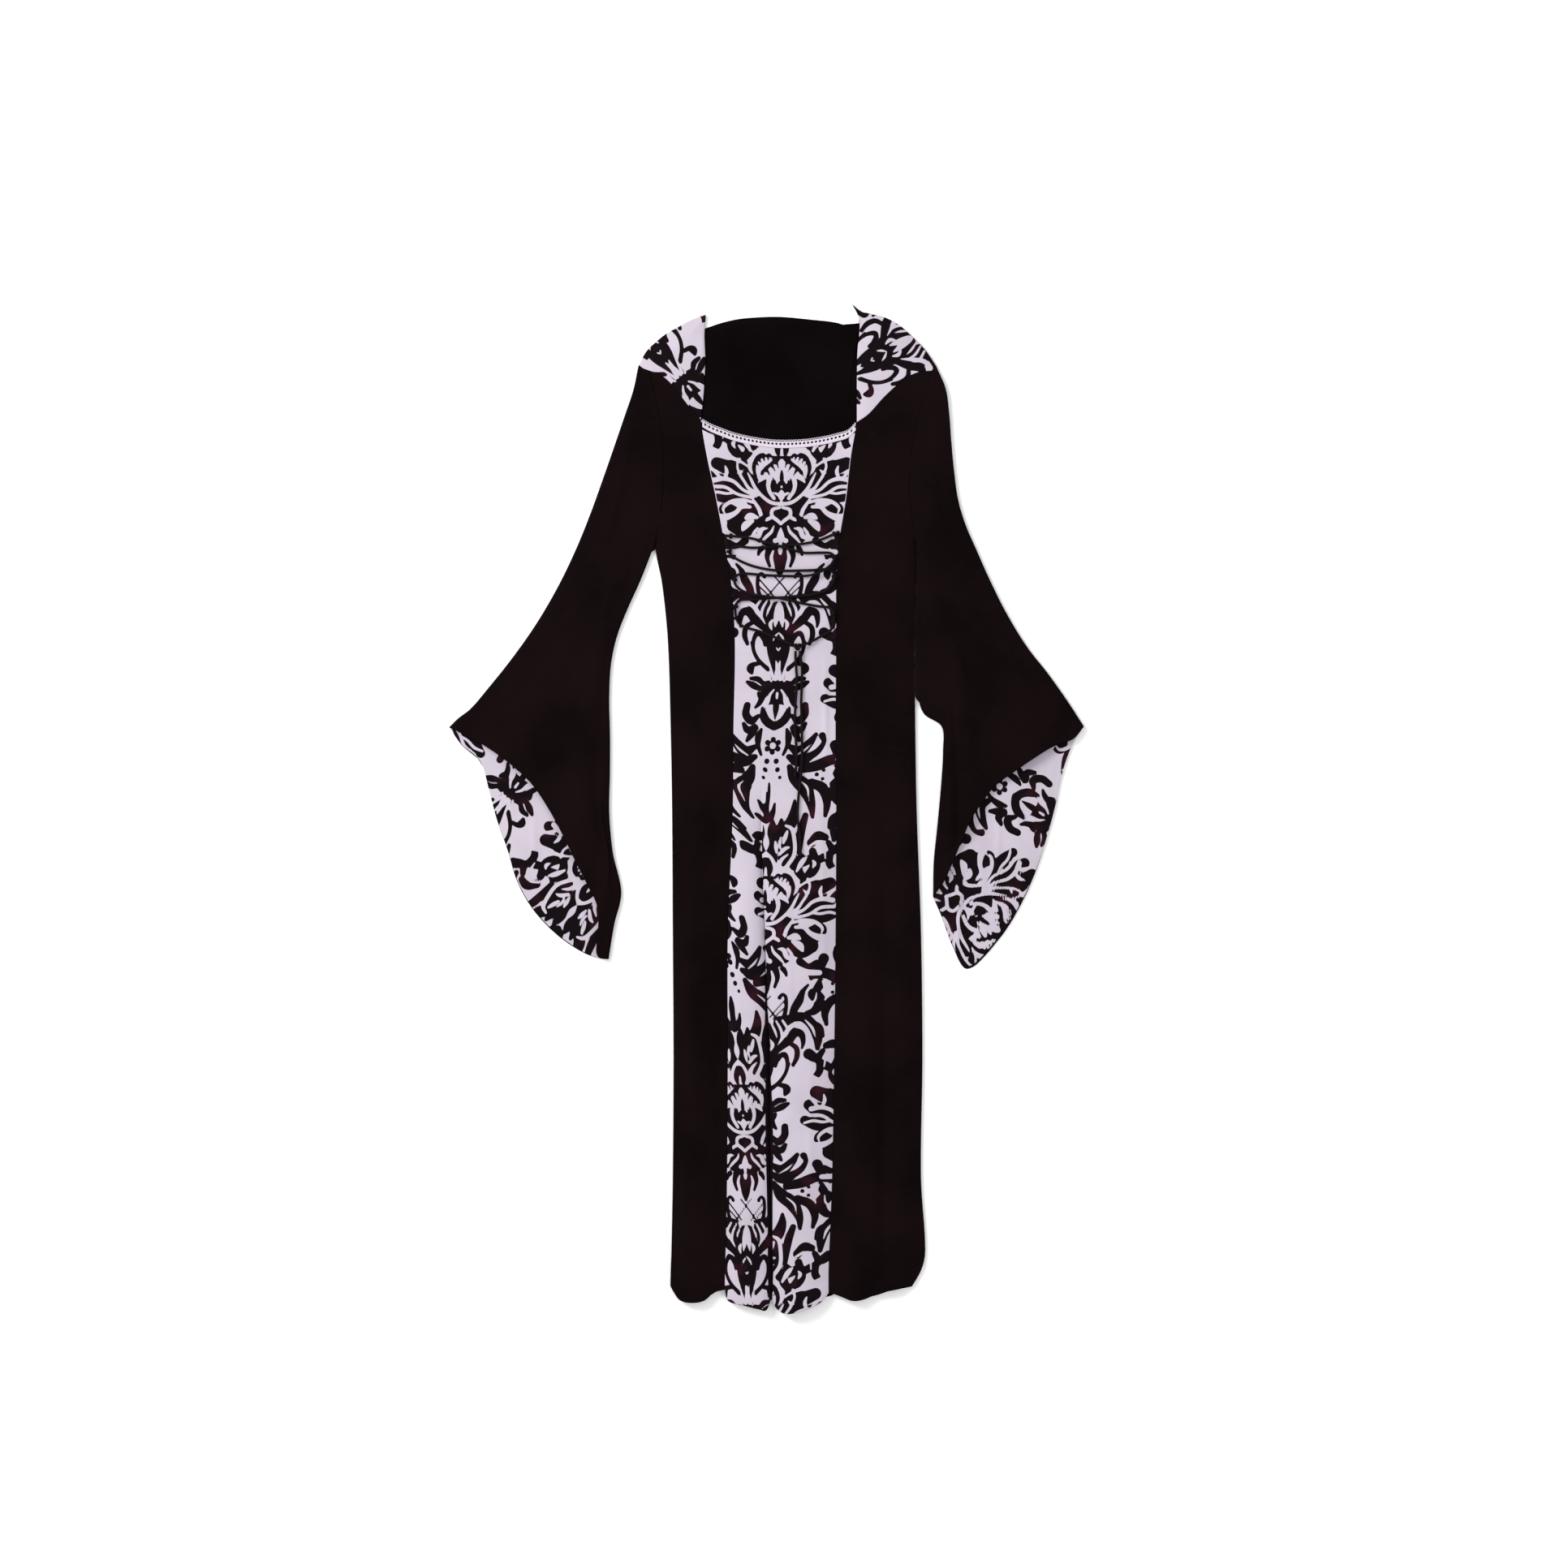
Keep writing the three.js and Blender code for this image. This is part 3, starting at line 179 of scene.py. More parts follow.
# Small creases: start x and y, end x and y, bow, half width, height
FRONT_CREASES = (
    # the waist, between and beside the rows of lace
    (-34, 352, 84, 350, 2, 6, 0.7), (-30, 317, 82, 316, -2, 6, 0.9), (-28, 276, 66, 268, 3, 7, 0.8),
    (-40, 340, -18, 300, 3, 4, -0.5), (92, 350, 70, 296, -3, 4, -0.5), (-52, 398, -22, 384, 1, 4, 0.6),
    (70, 398, 96, 380, -1, 4, 0.6), (-30, 440, 10, 395, 3, 6, 0.7), (72, 450, 48, 392, -3, 6, 0.6),
    # the side fronts above the waist
    (-150, 372, -66, 300, 6, 7, 1.1), (-146, 330, -60, 262, 5, 7, 0.9),
    (-138, 470, -84, 400, -4, 8, 0.8), (-128, 560, -98, 480, 3, 7, 0.7),
    (206, 372, 112, 306, -6, 7, 1.1), (204, 322, 106, 268, -4, 7, 0.9), (196, 480, 128, 410, 4, 8, 0.8),
    (180, 570, 140, 500, -3, 7, 0.7), (-142, 262, -64, 214, 4, 8, 0.6),
    # the side fronts below it
    (-112, 190, -104, -60, 5, 13, 1.3), (-98, -40, -106, -420, -6, 12, 1.5),
    (-78, -260, -82, -640, 4, 8, 1.1), (-120, -420, -116, -690, 2, 7, 1.2),
    (146, 170, 158, -240, -6, 14, 1.6), (192, -60, 184, -520, 5, 11, 1.5),
    (120, -180, 112, -660, 4, 9, 1.2), (160, -380, 150, -690, -3, 9, 1.3),
    (-60, -120, -130, -190, 6, 9, -0.5), (208, 60, 120, -20, -7, 10, -0.6),
    (110, -330, 205, -410, 8, 11, -0.5),
    # the rolls
    (83, 222, 84, 50, 0, 4.5, 1.5), (74, 40, 82, -260, 2, 5, 0.8), (30, -90, 38, -330, -2, 5, 0.7),
    (62, -300, 58, -620, 2, 6, 0.8), (-38, -150, -42, -400, 2, 5, 0.6),
    (-22, -380, -26, -640, -2, 5, 0.7), (-44, 140, 0, 96, 4, 7, 0.6), (-46, -40, -12, -90, 3, 6, -0.5),
    (18, -30, 84, -62, -4, 7, -0.5), (16, -436, 86, -470, 5, 8, 0.7), (-50, -520, -6, -560, 4, 6, -0.5),
    (20, -600, 82, -566, -3, 7, 0.6),
    # the shoulders
    (-92, 690, -96, 600, 3, 4, 0.7), (-110, 684, -150, 636, 5, 6, 0.6),
    (-150, 650, -112, 590, -3, 5, -0.4), (130, 706, 136, 640, -3, 4, 0.8),
    (146, 690, 180, 640, 4, 6, 0.6), (206, 664, 168, 600, 4, 6, -0.4),
)
BACK_CREASES = (
    (-70, 660, 90, 640, -8, 10, 0.8), (-60, 600, 20, 640, 5, 9, 0.6), (40, 590, 110, 650, -4, 8, 0.6),
    (-72, 566, 60, 548, 6, 8, 0.7), (-20, 684, 50, 610, 5, 8, -0.5), (90, 570, 112, 640, -3, 6, -0.5),
)
SLEEVE_CREASES = (
    (-196, 560, -214, 420, 4, 7, 1), (-206, 500, -238, 350, 6, 7, 1.2),
    (-240, 330, -330, 222, 8, 8, 1.1), (-232, 250, -280, 120, -7, 8, 1.2),
    (-300, 250, -250, 40, -8, 9, 1.3), (-330, 214, -400, 128, 5, 7, 1),
    (-256, 70, -246, -90, 4, 8, 1.2), (-228, 40, -226, -150, 3, 6, 1),
    (-186, 380, -204, 300, 3, 5, -0.7), (246, 560, 240, 430, -4, 7, 1),
    (234, 490, 262, 350, -6, 7, 1.2), (262, 330, 338, 232, -8, 8, 1.1), (244, 260, 296, 130, 7, 8, 1.2),
    (318, 256, 270, 40, 8, 9, 1.3), (344, 224, 404, 126, -5, 7, 1), (272, 86, 262, -60, -4, 8, 1.2),
    (244, 60, 246, -90, -3, 6, 1), (214, 370, 236, 300, -3, 5, -0.7),
)
LINING_CREASES = (
    (330, 4, 324, -128, 1, 4.5, 1.1), (276, -56, 268, -214, 2, 3.2, 1.7),
    (264, -70, 258, -204, 1, 4, -0.6), (372, 40, 352, -50, -3, 5, 0.8), (404, 72, 396, 0, 2, 5, 0.7),
    (300, -40, 306, -160, 3, 5, 0.6), (-372, 40, -360, -30, 3, 5, 0.8),
    (-330, 0, -322, -110, -3, 5, 0.9), (-284, -70, -290, -170, 3, 5, 0.8),
    (-256, -120, -262, -196, -2, 4, 0.7),
)

# The print. Each row is a stroke: its layer, then points with half widths. Layer 0 is ink, 1 ground
# laid over it, 2 fine ink over both, and 3 fine ground on top. A point is so far to the side of its
# column's middle, and so far down from the middle of its flower. Both sides of a column are alike.
PRINT_STROKES = (
    # flower: dark ground, white petal frames, combs
    (0, (0, -30, 9), (0, 8, 30)), (0, (26, -24, 14), (38, 0, 14), (22, 26, 14)),
    (0, (44, -8, 9), (52, 12, 10), (40, 30, 8)), (0, (58, -22, 8), (74, -16, 9), (92, -22, 7)),
    (0, (64, 2, 8), (84, 4, 9), (100, -4, 6)), (0, (60, 22, 9), (84, 24, 8), (104, 18, 5)),
    (1, (0, -34.5, 2.6), (10, -34.4, 2.4), (18, -37.6, 2.4), (29, -38.6, 2.6), (38, -33, 2.8),
        (43, -25, 2.8), (45, -15, 3), (40, -4.5, 0.8)),
    (1, (14, -28.4, 2.8), (21, -25.6, 6), (28, -20.6, 7), (32.4, -12, 4.6), (33.2, -3, 1.8),
        (33.8, 0, 0.8)), (1, (0, -24.8, 3.6), (0, -14, 9), (0, -3, 8)), (1, (5.6, 0, 3), (6.6, 6, 1.8)),
    (1, (13, -2, 6), (18.6, 6, 3.6), (17.4, 17, 3), (10.4, 28, 2.8)),
    (1, (9, -15, 6), (15, -8, 7.4), (22, -4.4, 5), (28.6, 0, 3.6), (33.6, 6.4, 0.8)),
    (2, (39.4, -22.6, 0.5), (36.6, -29, 1.2), (31, -33.4, 1.6), (24, -34.6, 1.5), (16.6, -33.4, 1.5),
        (11.6, -29.2, 0.5)),
    (2, (30, -8.2, 0.3), (24, -15, 0.9), (16.6, -20.4, 1.2), (10, -26, 1.1), (2, -29.8, 1.2),
        (0, -30, 1.2)), (2, (37, -25.5, 1.5), (32.4, -18, 0)), (2, (33.4, -30, 1.7), (28.2, -21, 0)),
    (2, (27.4, -32.6, 1.7), (23.2, -23, 0)), (2, (21.4, -33, 1.5), (18, -24.6, 0)),
    (2, (16.2, -32, 1.1), (13.4, -27, 0)), (2, (28, -10.4, 1.1), (25, -4.6, 0)),
    (2, (22, -14, 1.8), (15.6, -2.6, 0)), (2, (14.6, -20, 1.8), (8.6, -9.4, 0)),
    (2, (7.6, -25.4, 1.6), (4.6, -14.4, 0)), (2, (0, -13, 0.2), (0, -6, 2), (0, 1, 2.4), (0, 7, 0.5)),
    (2, (12, -1, 0.1), (13, 5.4, 1.7), (9.4, 10.6, 2), (4, 12, 1.4)), (3, (0, 11.4, 2), (0, 11.8, 2)),
    (3, (0, 16.6, 1.2), (0, 21, 4.2), (0, 25, 4.8), (0, 29.6, 2)),
    (3, (9.6, 20.2, 1.6), (5, 22.6, 2.4), (0, 25, 3)), (3, (0, 28, 1.8), (0, 37, 1.8)),
    # bowl and the veins that sweep up and out of it
    (1, (0, 36, 2.8), (14, 34, 2.8), (28, 24, 2.6), (38, 12, 2.6), (43, 2, 2.3), (48, -8, 1.4)),
    (1, (32, 22, 3), (46, 14, 2.6), (53, 4, 2.2), (58, -4, 2.4), (63, -18, 2), (60, -28, 2.4)),
    (1, (36, 24, 3), (54, 16, 2.4), (68, 4, 2.8), (82, 0, 3.4), (96, 2, 4)),
    (1, (40, 27, 2.4), (62, 22, 2.4), (80, 12, 2.6), (98, 11, 2.8)),
    (1, (66, 20, 1.6), (78, 21, 2.2), (92, 19, 2.4), (104, 22, 2)),
    (1, (46, -16, 1.6), (58, -24, 2.2), (72, -30, 3.4), (90, -36, 5.4), (108, -44, 6)),
    (1, (80, -2, 2.4), (78, -10, 3), (80, -18, 1.4)), (1, (88, -2, 2.2), (94, -10, 3), (100, -14, 1.6)),
    # dark cells under the braid and beside the flower
    (0, (8.4, -46, 3.4), (8.4, -41, 2.6)), (1, (0, -60, 3.4), (0, -36, 2.2)),
    (0, (22, -50, 1.2), (30, -47, 2.4)), (0, (40, -46, 4.4), (50, -52, 6.4), (62, -56, 5)),
    (1, (50, -46, 1.6), (54, -54, 2.6), (58, -60, 1.4)),
    (0, (70, -52, 3.2), (84, -60, 4.4), (96, -66, 2)),
    # scrolls and the small diamond
    (0, (0, 50, 17), (26, 46, 10)), (0, (44, 48, 11), (62, 54, 12), (78, 44, 9)),
    (0, (36, 62, 10), (52, 74, 8), (66, 66, 9)),
    (1, (2, 41, 2.2), (12, 44, 2.8), (13, 52, 2.8), (4, 60, 2.8), (0, 64, 2.4)),
    (1, (12, 54, 2.8), (22, 58, 2.8), (28, 52, 3), (31, 44, 3), (36, 36, 2.6), (40, 30, 2)),
    (1, (38, 34, 2.2), (56, 30, 2.6), (72, 33, 3), (82, 42, 2.4), (80, 50, 1)),
    (1, (44, 40, 2.6), (56, 40, 3.4), (64, 48, 3.6), (76, 54, 5), (88, 56, 6.4)),
    (1, (34, 55, 2.6), (44, 53, 5), (50, 56, 2.4)), (1, (40, 60, 2.6), (50, 66, 5.4), (54, 73, 2.2)),
    (2, (21, 50, 2.2), (27, 61, 4), (20, 66, 3)),
    # leaves like an M and the trefoil, on dark
    (0, (0, 80, 21), (24, 78, 13)), (0, (50, 88, 4), (62, 96, 3.6), (74, 90, 3)),
    (1, (0, 70, 1.2), (0, 79, 4.6), (0, 84, 6)), (1, (0, 85, 3), (7.5, 88, 3.8)),
    (1, (0, 88, 3), (0, 96, 2.6)), (1, (10, 67, 1.4), (13, 75, 2.4), (21, 83, 2.6), (27, 90, 1.6)),
    (1, (19, 70, 1.4), (27, 72, 3.4), (32, 82, 3.6), (42, 84, 1.8)),
    (1, (33, 70, 1.8), (38, 78, 2.8), (40, 90, 3)),
    (1, (28, 93, 2.6), (44, 96, 3.6), (60, 103, 4.4), (78, 104, 4)),
    (0, (84, 84, 6), (78, 98, 4.4), (66, 112, 1.4)),
    # column with slits
    (0, (0, 98, 17), (0, 108, 14.6), (0, 114, 12)), (0, (0, 108, 7), (0, 125, 6), (0, 138, 0.8)),
    (0, (14, 100, 5), (18, 110, 2.6), (14.6, 124, 0.8)),
    (0, (26, 98, 2.6), (30, 104, 1.4), (31, 108, 0.4)), (3, (0, 101, 3.6), (0, 106, 2.4)),
    (3, (10, 102, 1.6), (12.5, 112, 2.7), (10, 124, 2.6)),
    (0, (62, 121, 0.4), (56, 128, 1.6), (54, 134, 2)),
    # lattice and its curls
    (0, (22, 138, 1.2), (26, 134, 0.5), (30, 137, 1), (31.4, 148, 1.2), (30, 159, 1.4), (26, 171, 2.6)),
    (0, (54, 130, 2), (50, 142, 4.4), (43, 154, 4.2), (38, 168, 2.6)),
    (2, (9, 137, 0.6), (-3, 150, 0.6), (-15, 165, 0.7)),
    (2, (28.6, 143, 0.6), (17, 156, 0.6), (8, 167, 0.7)),
    (2, (28.8, 153, 0.6), (20, 161, 0.6), (13, 169, 0.7)), (0, (22, 138.6, 1.3), (21.6, 139, 1.3)),
    (0, (70, 134, 7), (78, 146, 6), (70, 158, 4), (60, 160, 1.4)),
    (1, (74, 132, 1.2), (72, 142, 1.8), (64, 149, 1.2)),
    # nested plumes and the white spearhead
    (0, (0, 196, 21), (12, 214, 16), (0, 232, 14)), (0, (24, 176, 10), (34, 182, 9), (20, 204, 14)),
    (1, (0, 174, 1.4), (0, 186, 6.4), (3.5, 198, 4.4), (5.4, 210, 1.2)),
    (1, (9, 174, 1.2), (15, 186, 2), (18, 196, 0.8)), (1, (17, 172, 1.6), (24, 186, 2.2), (24, 198, 1)),
    (1, (26, 171, 2), (33, 184, 2.2), (31, 199, 1.1)), (1, (9, 200, 1.6), (12, 206, 3), (10, 214, 1.4)),
    (2, (0, 202, 0.8), (0, 210, 1.6), (4, 218, 1.4)), (1, (0, 218, 1), (5, 224, 2), (8, 230, 1)),
    (1, (19, 206, 1), (28, 192, 3), (40, 178, 3.6), (54, 178, 3.6), (63, 192, 3.4), (62, 208, 2.4)),
    (2, (20, 212, 4), (34, 200, 5.4), (44, 188, 5.6), (52, 190, 4.6), (55, 203, 2.6), (54, 210, 1.2)),
    (0, (36, 168, 4), (54, 166, 5.4), (68, 177, 6), (75, 194, 5.6), (76, 210, 2)),
    (1, (58, 170, 1.2), (68, 182, 2.4), (72, 194, 1)),
    (1, (22, 222, 3), (32, 209, 4.4), (42, 209, 4), (45, 222, 3.6), (44, 236, 3)),
    (2, (38, 204, 2.6), (46, 210, 3.2), (48, 222, 3.4), (44, 234, 2.2)),
    (2, (19, 236, 1.8), (22, 224, 3), (30, 219, 3.2), (35, 228, 2.4), (35, 240, 1.2)),
    (0, (64, 218, 6), (76, 224, 4.4), (84, 214, 2.4)),
    # stem, thin leaves and pairs
    (0, (0, 240, 15), (0, 254, 12)), (0, (0, 256, 11), (0, 300, 7), (0, 294, 9)),
    (3, (0, 244, 1), (2.4, 240, 1.4)), (3, (-3, 284, 3), (0, 270, 3.6), (3, 258, 1)),
    (3, (6, 284, 2.4), (10, 270, 2), (15, 252, 1)), (3, (9, 287, 1.6), (16, 278, 2), (20, 270, 1)),
    (0, (37, 232, 1.4), (34, 246, 1.2), (27, 258, 1.4), (14, 270, 1.8)),
    (0, (28, 262, 1.4), (36, 264, 2.4), (39, 269, 4), (37, 275, 1.2)),
    (0, (10, 291, 4.4), (20, 290, 2), (28, 284, 2.6), (38, 283, 1)),
    (0, (12, 294, 4), (24, 297, 2.2), (34, 293, 3.4), (43, 288, 1)),
    (0, (14, 296, 4), (22, 308, 3.6), (26, 304, 1.4)),
    (0, (18, 302, 3.4), (24, 318, 2.2), (29, 324, 0.6)),
    # bell flower
    (0, (0, 306, 12), (0, 318, 13)), (3, (5, 299, 1.4), (10, 306, 2.2), (13, 318, 2.8), (17, 325, 1)),
    (3, (0, 304, 2.2), (0, 311, 1.8)), (1, (0, 328, 9), (10, 326, 5), (0, 338, 6)),
    (2, (0, 314, 3.4), (0, 326, 3.8), (0, 341, 0.3)),
    (0, (18, 326, 2), (15.6, 338, 4.4), (9, 346, 4.6), (0, 350, 5.4)),
    (0, (41, 321, 3.4), (41.6, 334, 4), (33, 343, 4), (24, 336, 1.4)),
    (0, (44, 347, 1.2), (37, 356, 3.6), (27, 351, 2)),
    (0, (37, 371, 1.2), (32, 363, 3.2), (25, 353, 1.6)),
    # rosette in its frame, then dots
    (0, (18, 355, 0.6), (21.4, 366, 3.4), (20.6, 378, 1.8), (15.6, 391, 0.6)),
    (0, (0, 369.4, 2.2), (0, 370, 2.2)), (0, (7.6, 373.6, 2.2), (7.6, 374, 2.2)),
    (0, (7.6, 382.4, 2.2), (7.6, 383, 2.2)), (0, (0, 387, 2.2), (0, 387.6, 2.2)),
    (0, (0, 378, 5.2), (0, 379, 5.2)), (3, (0, 378, 4.6), (0, 378.6, 4.6)),
    (0, (6.6, 400, 2.2), (6.6, 400.6, 2.2)), (0, (9.6, 412, 1.9), (9.6, 412.6, 1.9)),
    (0, (14.4, 423, 1), (14.4, 423.5, 1)),
    (0, (25, 380, 2.4), (38, 386, 6), (52, 374, 4.4), (60, 362, 1.4)),
    (0, (24, 394, 2.6), (38, 400, 6.4), (56, 392, 4), (66, 384, 3), (72, 372, 2), (69, 364, 3.6)),
    (1, (34, 392, 1.2), (46, 384, 1.8), (54, 376, 0.8)),
    (0, (26, 408, 2.4), (36, 424, 7), (52, 436, 8), (64, 456, 4.4), (66, 472, 1.2)),
    (0, (44, 412, 4), (66, 406, 6.4), (86, 398, 6), (104, 400, 5)),
    (1, (46, 419, 2), (62, 420, 4.6), (78, 420, 7.6), (88, 410, 3)),
    (2, (66, 419, 2.4), (66.5, 419, 2.4)), (2, (75, 413, 2), (75.5, 413, 2)),
    (2, (75, 425, 2), (75.5, 425, 2)), (0, (92, 412, 5), (98, 424, 4.4), (90, 432, 2.6)),
    (0, (60, 430, 4), (78, 438, 5), (86, 454, 4), (84, 470, 1.4)),
    (1, (44, 428, 1), (56, 438, 1.8), (60, 452, 0.8)),
    # three-leaf sprig
    (0, (0, 432, 0.6), (0, 444, 3.2), (0, 458, 3), (0, 476, 4)),
    (0, (12, 455, 0.3), (10.4, 464, 2), (6, 474, 3.6)),
    (0, (40, 452, 1), (40, 466, 5), (34, 482, 7), (22, 492, 6)),
    (0, (56, 470, 3), (50, 490, 4.4), (46, 520, 3)), (0, (22, 476, 1), (19, 490, 4), (16, 500, 4)),
    (0, (10, 478, 0.8), (9, 488, 5), (9, 500, 6)),
    # fan of ears
    (0, (0, 512, 13), (0, 530, 15)), (0, (22, 512, 12), (34, 500, 9), (30, 528, 12)),
    (3, (0, 484, 1), (0, 496, 2), (0, 508, 4.6), (0, 518, 1.4)),
    (3, (0, 522, 2.4), (8, 530, 2.6), (13, 542, 3), (12, 552, 3)),
    (2, (0, 532, 3.4), (6, 543, 4.2), (5, 552, 2.4)), (3, (13, 506, 1.6), (14, 514, 3), (15, 522, 1.6)),
    (3, (21, 500, 1.4), (19, 508, 2.2), (20, 516, 1.6)),
    (3, (30, 492, 2), (27, 500, 3.2), (24, 508, 2)), (3, (19, 524, 2.4), (27, 516, 3), (33, 514, 1.4)),
    (3, (18, 542, 3), (22, 532, 2.8), (31, 524, 1.4)),
    (3, (22, 550, 3), (32, 538, 3), (40, 524, 3), (40, 504, 3), (36, 488, 3), (28, 484, 2)),
    (0, (50, 528, 4), (46, 546, 5), (52, 556, 4)), (1, (44, 548, 2), (50, 536, 3.4), (54, 528, 1)),
    (0, (64, 508, 5), (74, 498, 5), (84, 500, 3.4)), (0, (66, 520, 4), (70, 540, 6), (60, 556, 5)),
    (1, (62, 512, 2), (74, 506, 2.2), (82, 514, 2), (84, 530, 1.4)),
    (1, (66, 532, 1), (69, 537, 3), (66, 544, 1)), (0, (90, 486, 2), (96, 476, 6), (106, 472, 7)),
    (0, (92, 520, 3), (90, 536, 4), (98, 548, 3)),
)
# How the print lies on the front: level, middle of its column, cloth hidden in the crease to the
# left, how much wider the left roll's cloth is than it looks, cloth hidden to the right, slip down,
# half width of a dark strip drawn as ink all down the crease, partly print and partly painted shade
PRINT_ROWS = (
    (-720, 7, 132, 1.2, 32, 2, 1), (-660, 6.5, 131, 1.2, 28, 2, 4), (-600, 6, 131, 1.2, 25, 2, 3.4),
    (-540, 5.5, 130, 1.2, 21, 2, 4.2), (-470, 5, 129, 1.2, 22, 9, 5.4), (-415, 4, 126, 1.2, 16, 9.5, 5),
    (-370, 3, 122, 1.2, 10, 9, 3.2), (-330, 2, 118, 1.18, 5, 9, 4), (-280, 0.5, 114, 1.16, 4, 9, 1.5),
    (-235, -1, 111, 1.15, 2, 8.5, 0.4), (-166, -3, 98, 1.1, 0, 8, -1), (-50, -7, 84, 1, -6.5, 8, -9),
    (0, -4, 40, 1, -3, 7, -9), (20, -1, 24, 1, -1.8, 3, -9), (34, 2, 10, 1, -1, 0, -9),
    (60, 6.5, 0, 1, 0, 0, -9), (110, 10.5, 0, 1, 0, 0, -9), (168, 15.5, 0, 1, 0, 0, -9),
    (467, 21.5, 0, 1, 0, 0, -9), (720, 21.5, 0, 1, 0, 0, -9),
)


# Small sums

# Steps in each stretch of a smooth line through a table's rows
SAMPLES = 24
# Where the first rows of points stand inside an edge, and where the even ones begin
EDGE_STEPS = (0.0, 0.35, 0.9, 1.7)
EDGE_END = 3.0


def mix(a: Array | float, b: Array | float, t: Array | float) -> Array:
    """A value that goes straight from a to b as t goes from 0 to 1."""
    return a + (b - a) * t


def smooth(t: Array | float) -> Array:
    """A soft step: 3t^2 - 2t^3 between 0 and 1, flat outside."""
    t = np.clip(t, 0.0, 1.0)
    return t * t * (3.0 - 2.0 * t)


def lengths_along(path: Array) -> Array:
    """The length from a path's start to each of its points."""
    steps = np.linalg.norm(np.diff(path, axis=0), axis=1)
    return np.concatenate([[0.0], np.cumsum(steps)])


def curve_through(points: Array, samples: int = 16) -> Array:
    """A smooth line through points: a centripetal Catmull-Rom curve.

    Each stretch is a cubic whose end slopes come from the points before and after it, weighed by the
    square roots of the distances between them.

    Args:
        points: The points, one a row.
        samples: How many steps each stretch gets.

    Returns:
        The points of the line, with the given ones every `samples` rows.
    """
    p = np.asarray(points, float)
    p = np.vstack([2 * p[0] - p[1], p, 2 * p[-1] - p[-2]])
    root = np.sqrt(np.linalg.norm(np.diff(p[:, :2], axis=0), axis=1))
    d0, d1, d2 = (root[k: len(root) - 2 + k, None] for k in range(3))
    a, b, c, d = (p[k: len(p) - 3 + k] for k in range(4))
    slope_b = ((b - a) / d0 - (c - a) / (d0 + d1) + (c - b) / d1) * d1
    slope_c = ((c - b) / d1 - (d - b) / (d1 + d2) + (d - c) / d2) * d1
    t = (np.arange(samples) / samples)[None, :, None]
    a3 = (2 * b - 2 * c + slope_b + slope_c)[:, None]
    a2 = (-3 * b + 3 * c - 2 * slope_b - slope_c)[:, None]
    line = a3 * t**3 + a2 * t**2 + slope_b[:, None] * t + b[:, None]
    return np.vstack([line.reshape(-1, p.shape[1]), p[-2]])


def along(path: Array, lengths: Array) -> Array:
    """Points at given lengths along a path."""
    known = lengths_along(path)
    return np.stack([np.interp(lengths, known, path[:, k]) for k in range(path.shape[1])], -1)


def path_at(points: Array, shares: Array) -> Array:
    """Points at given shares of the length of the smooth line through some points."""
    line = curve_through(points)
    return along(line, shares * lengths_along(line)[-1])


def by_index(points: Array, places: Array) -> Array:
    """Points on the smooth line through a table's points, at places counted in its rows."""
    line = curve_through(points, SAMPLES)
    return np.stack([np.interp(places * SAMPLES, np.arange(len(line)), line[:, k]) for k in range(2)], -1)


def spaced(length: float, count: int) -> Array:
    """Shares from 0 to 1 that stand close at both ends, where cloth rounds over its edge.

    Args:
        length: The length that the shares divide.
        count: How many steps there are.

    Returns:
        count + 1 rising shares.
    """
    edge = np.array(EDGE_STEPS)
    inner = np.linspace(EDGE_END, length - EDGE_END, count + 1 - 2 * len(edge))
    return np.concatenate([edge, inner, length - edge[::-1]]) / length


def patch(top: Array, bottom: Array, left: Array, right: Array) -> Array:
    """The flat shape inside four edges.

    Rows run straight from side to side, and bow as the top and the bottom edge do. The top's bow
    fades with the cube of the way from it, and the bottom's with the square.

    Args:
        top: Points of the top edge from left to right.
        bottom: As many points of the bottom edge.
        left: Points of the left edge from top to bottom.
        right: As many points of the right edge.

    Returns:
        A grid of points, rows by columns by 2.
    """
    shares = [lengths_along(path) / lengths_along(path)[-1] for path in (top, bottom, left, right)]
    u = ((shares[0] + shares[1]) / 2)[None, :, None]
    v = ((shares[2] + shares[3]) / 2)[:, None, None]
    top_bow = top - mix(top[0], top[-1], u[0])
    bottom_bow = bottom - mix(bottom[0], bottom[-1], u[0])
    straight = mix(left[:, None], right[:, None], u)
    return straight + top_bow * (1 - v) ** 3 + bottom_bow * v**2


def distance_to(paths: list[Array], x: Array, y: Array) -> Array:
    """Distance from each point to the nearest of some paths, stretch by stretch.

    Args:
        paths: The paths, each a row of points.
        x: Where the distances are wanted.
        y: Where the distances are wanted.

    Returns:
        The distances.
    """
    nearest = np.full(np.shape(x), np.inf)
    for path in paths:
        for a, b in zip(path[:-1], path[1:]):
            run = b - a
            t = np.clip(((x - a[0]) * run[0] + (y - a[1]) * run[1]) / max(run @ run, 1e-9), 0, 1)
            nearest = np.minimum(nearest, np.hypot(x - a[0] - t * run[0], y - a[1] - t * run[1]))
    return nearest


def border_distance(flat: Array) -> Array:
    """How far each point of a flat grid is from the grid's border, along its row or column.

    Args:
        flat: The grid.

    Returns:
        The distances.
    """
    sides = [
        np.linalg.norm(flat - edge, axis=-1)
        for edge in (flat[:, :1], flat[:, -1:], flat[:1], flat[-1:])
    ]
    return np.minimum.reduce(sides)


def rolled(distance: Array, radius: float) -> Array:
    """How far cloth has dropped at its edge: a quarter circle over the given radius."""
    inside = 1 - np.clip(distance / radius, 0, 1)
    return radius * (1 - np.sqrt(np.maximum(1 - inside**2, 0)))


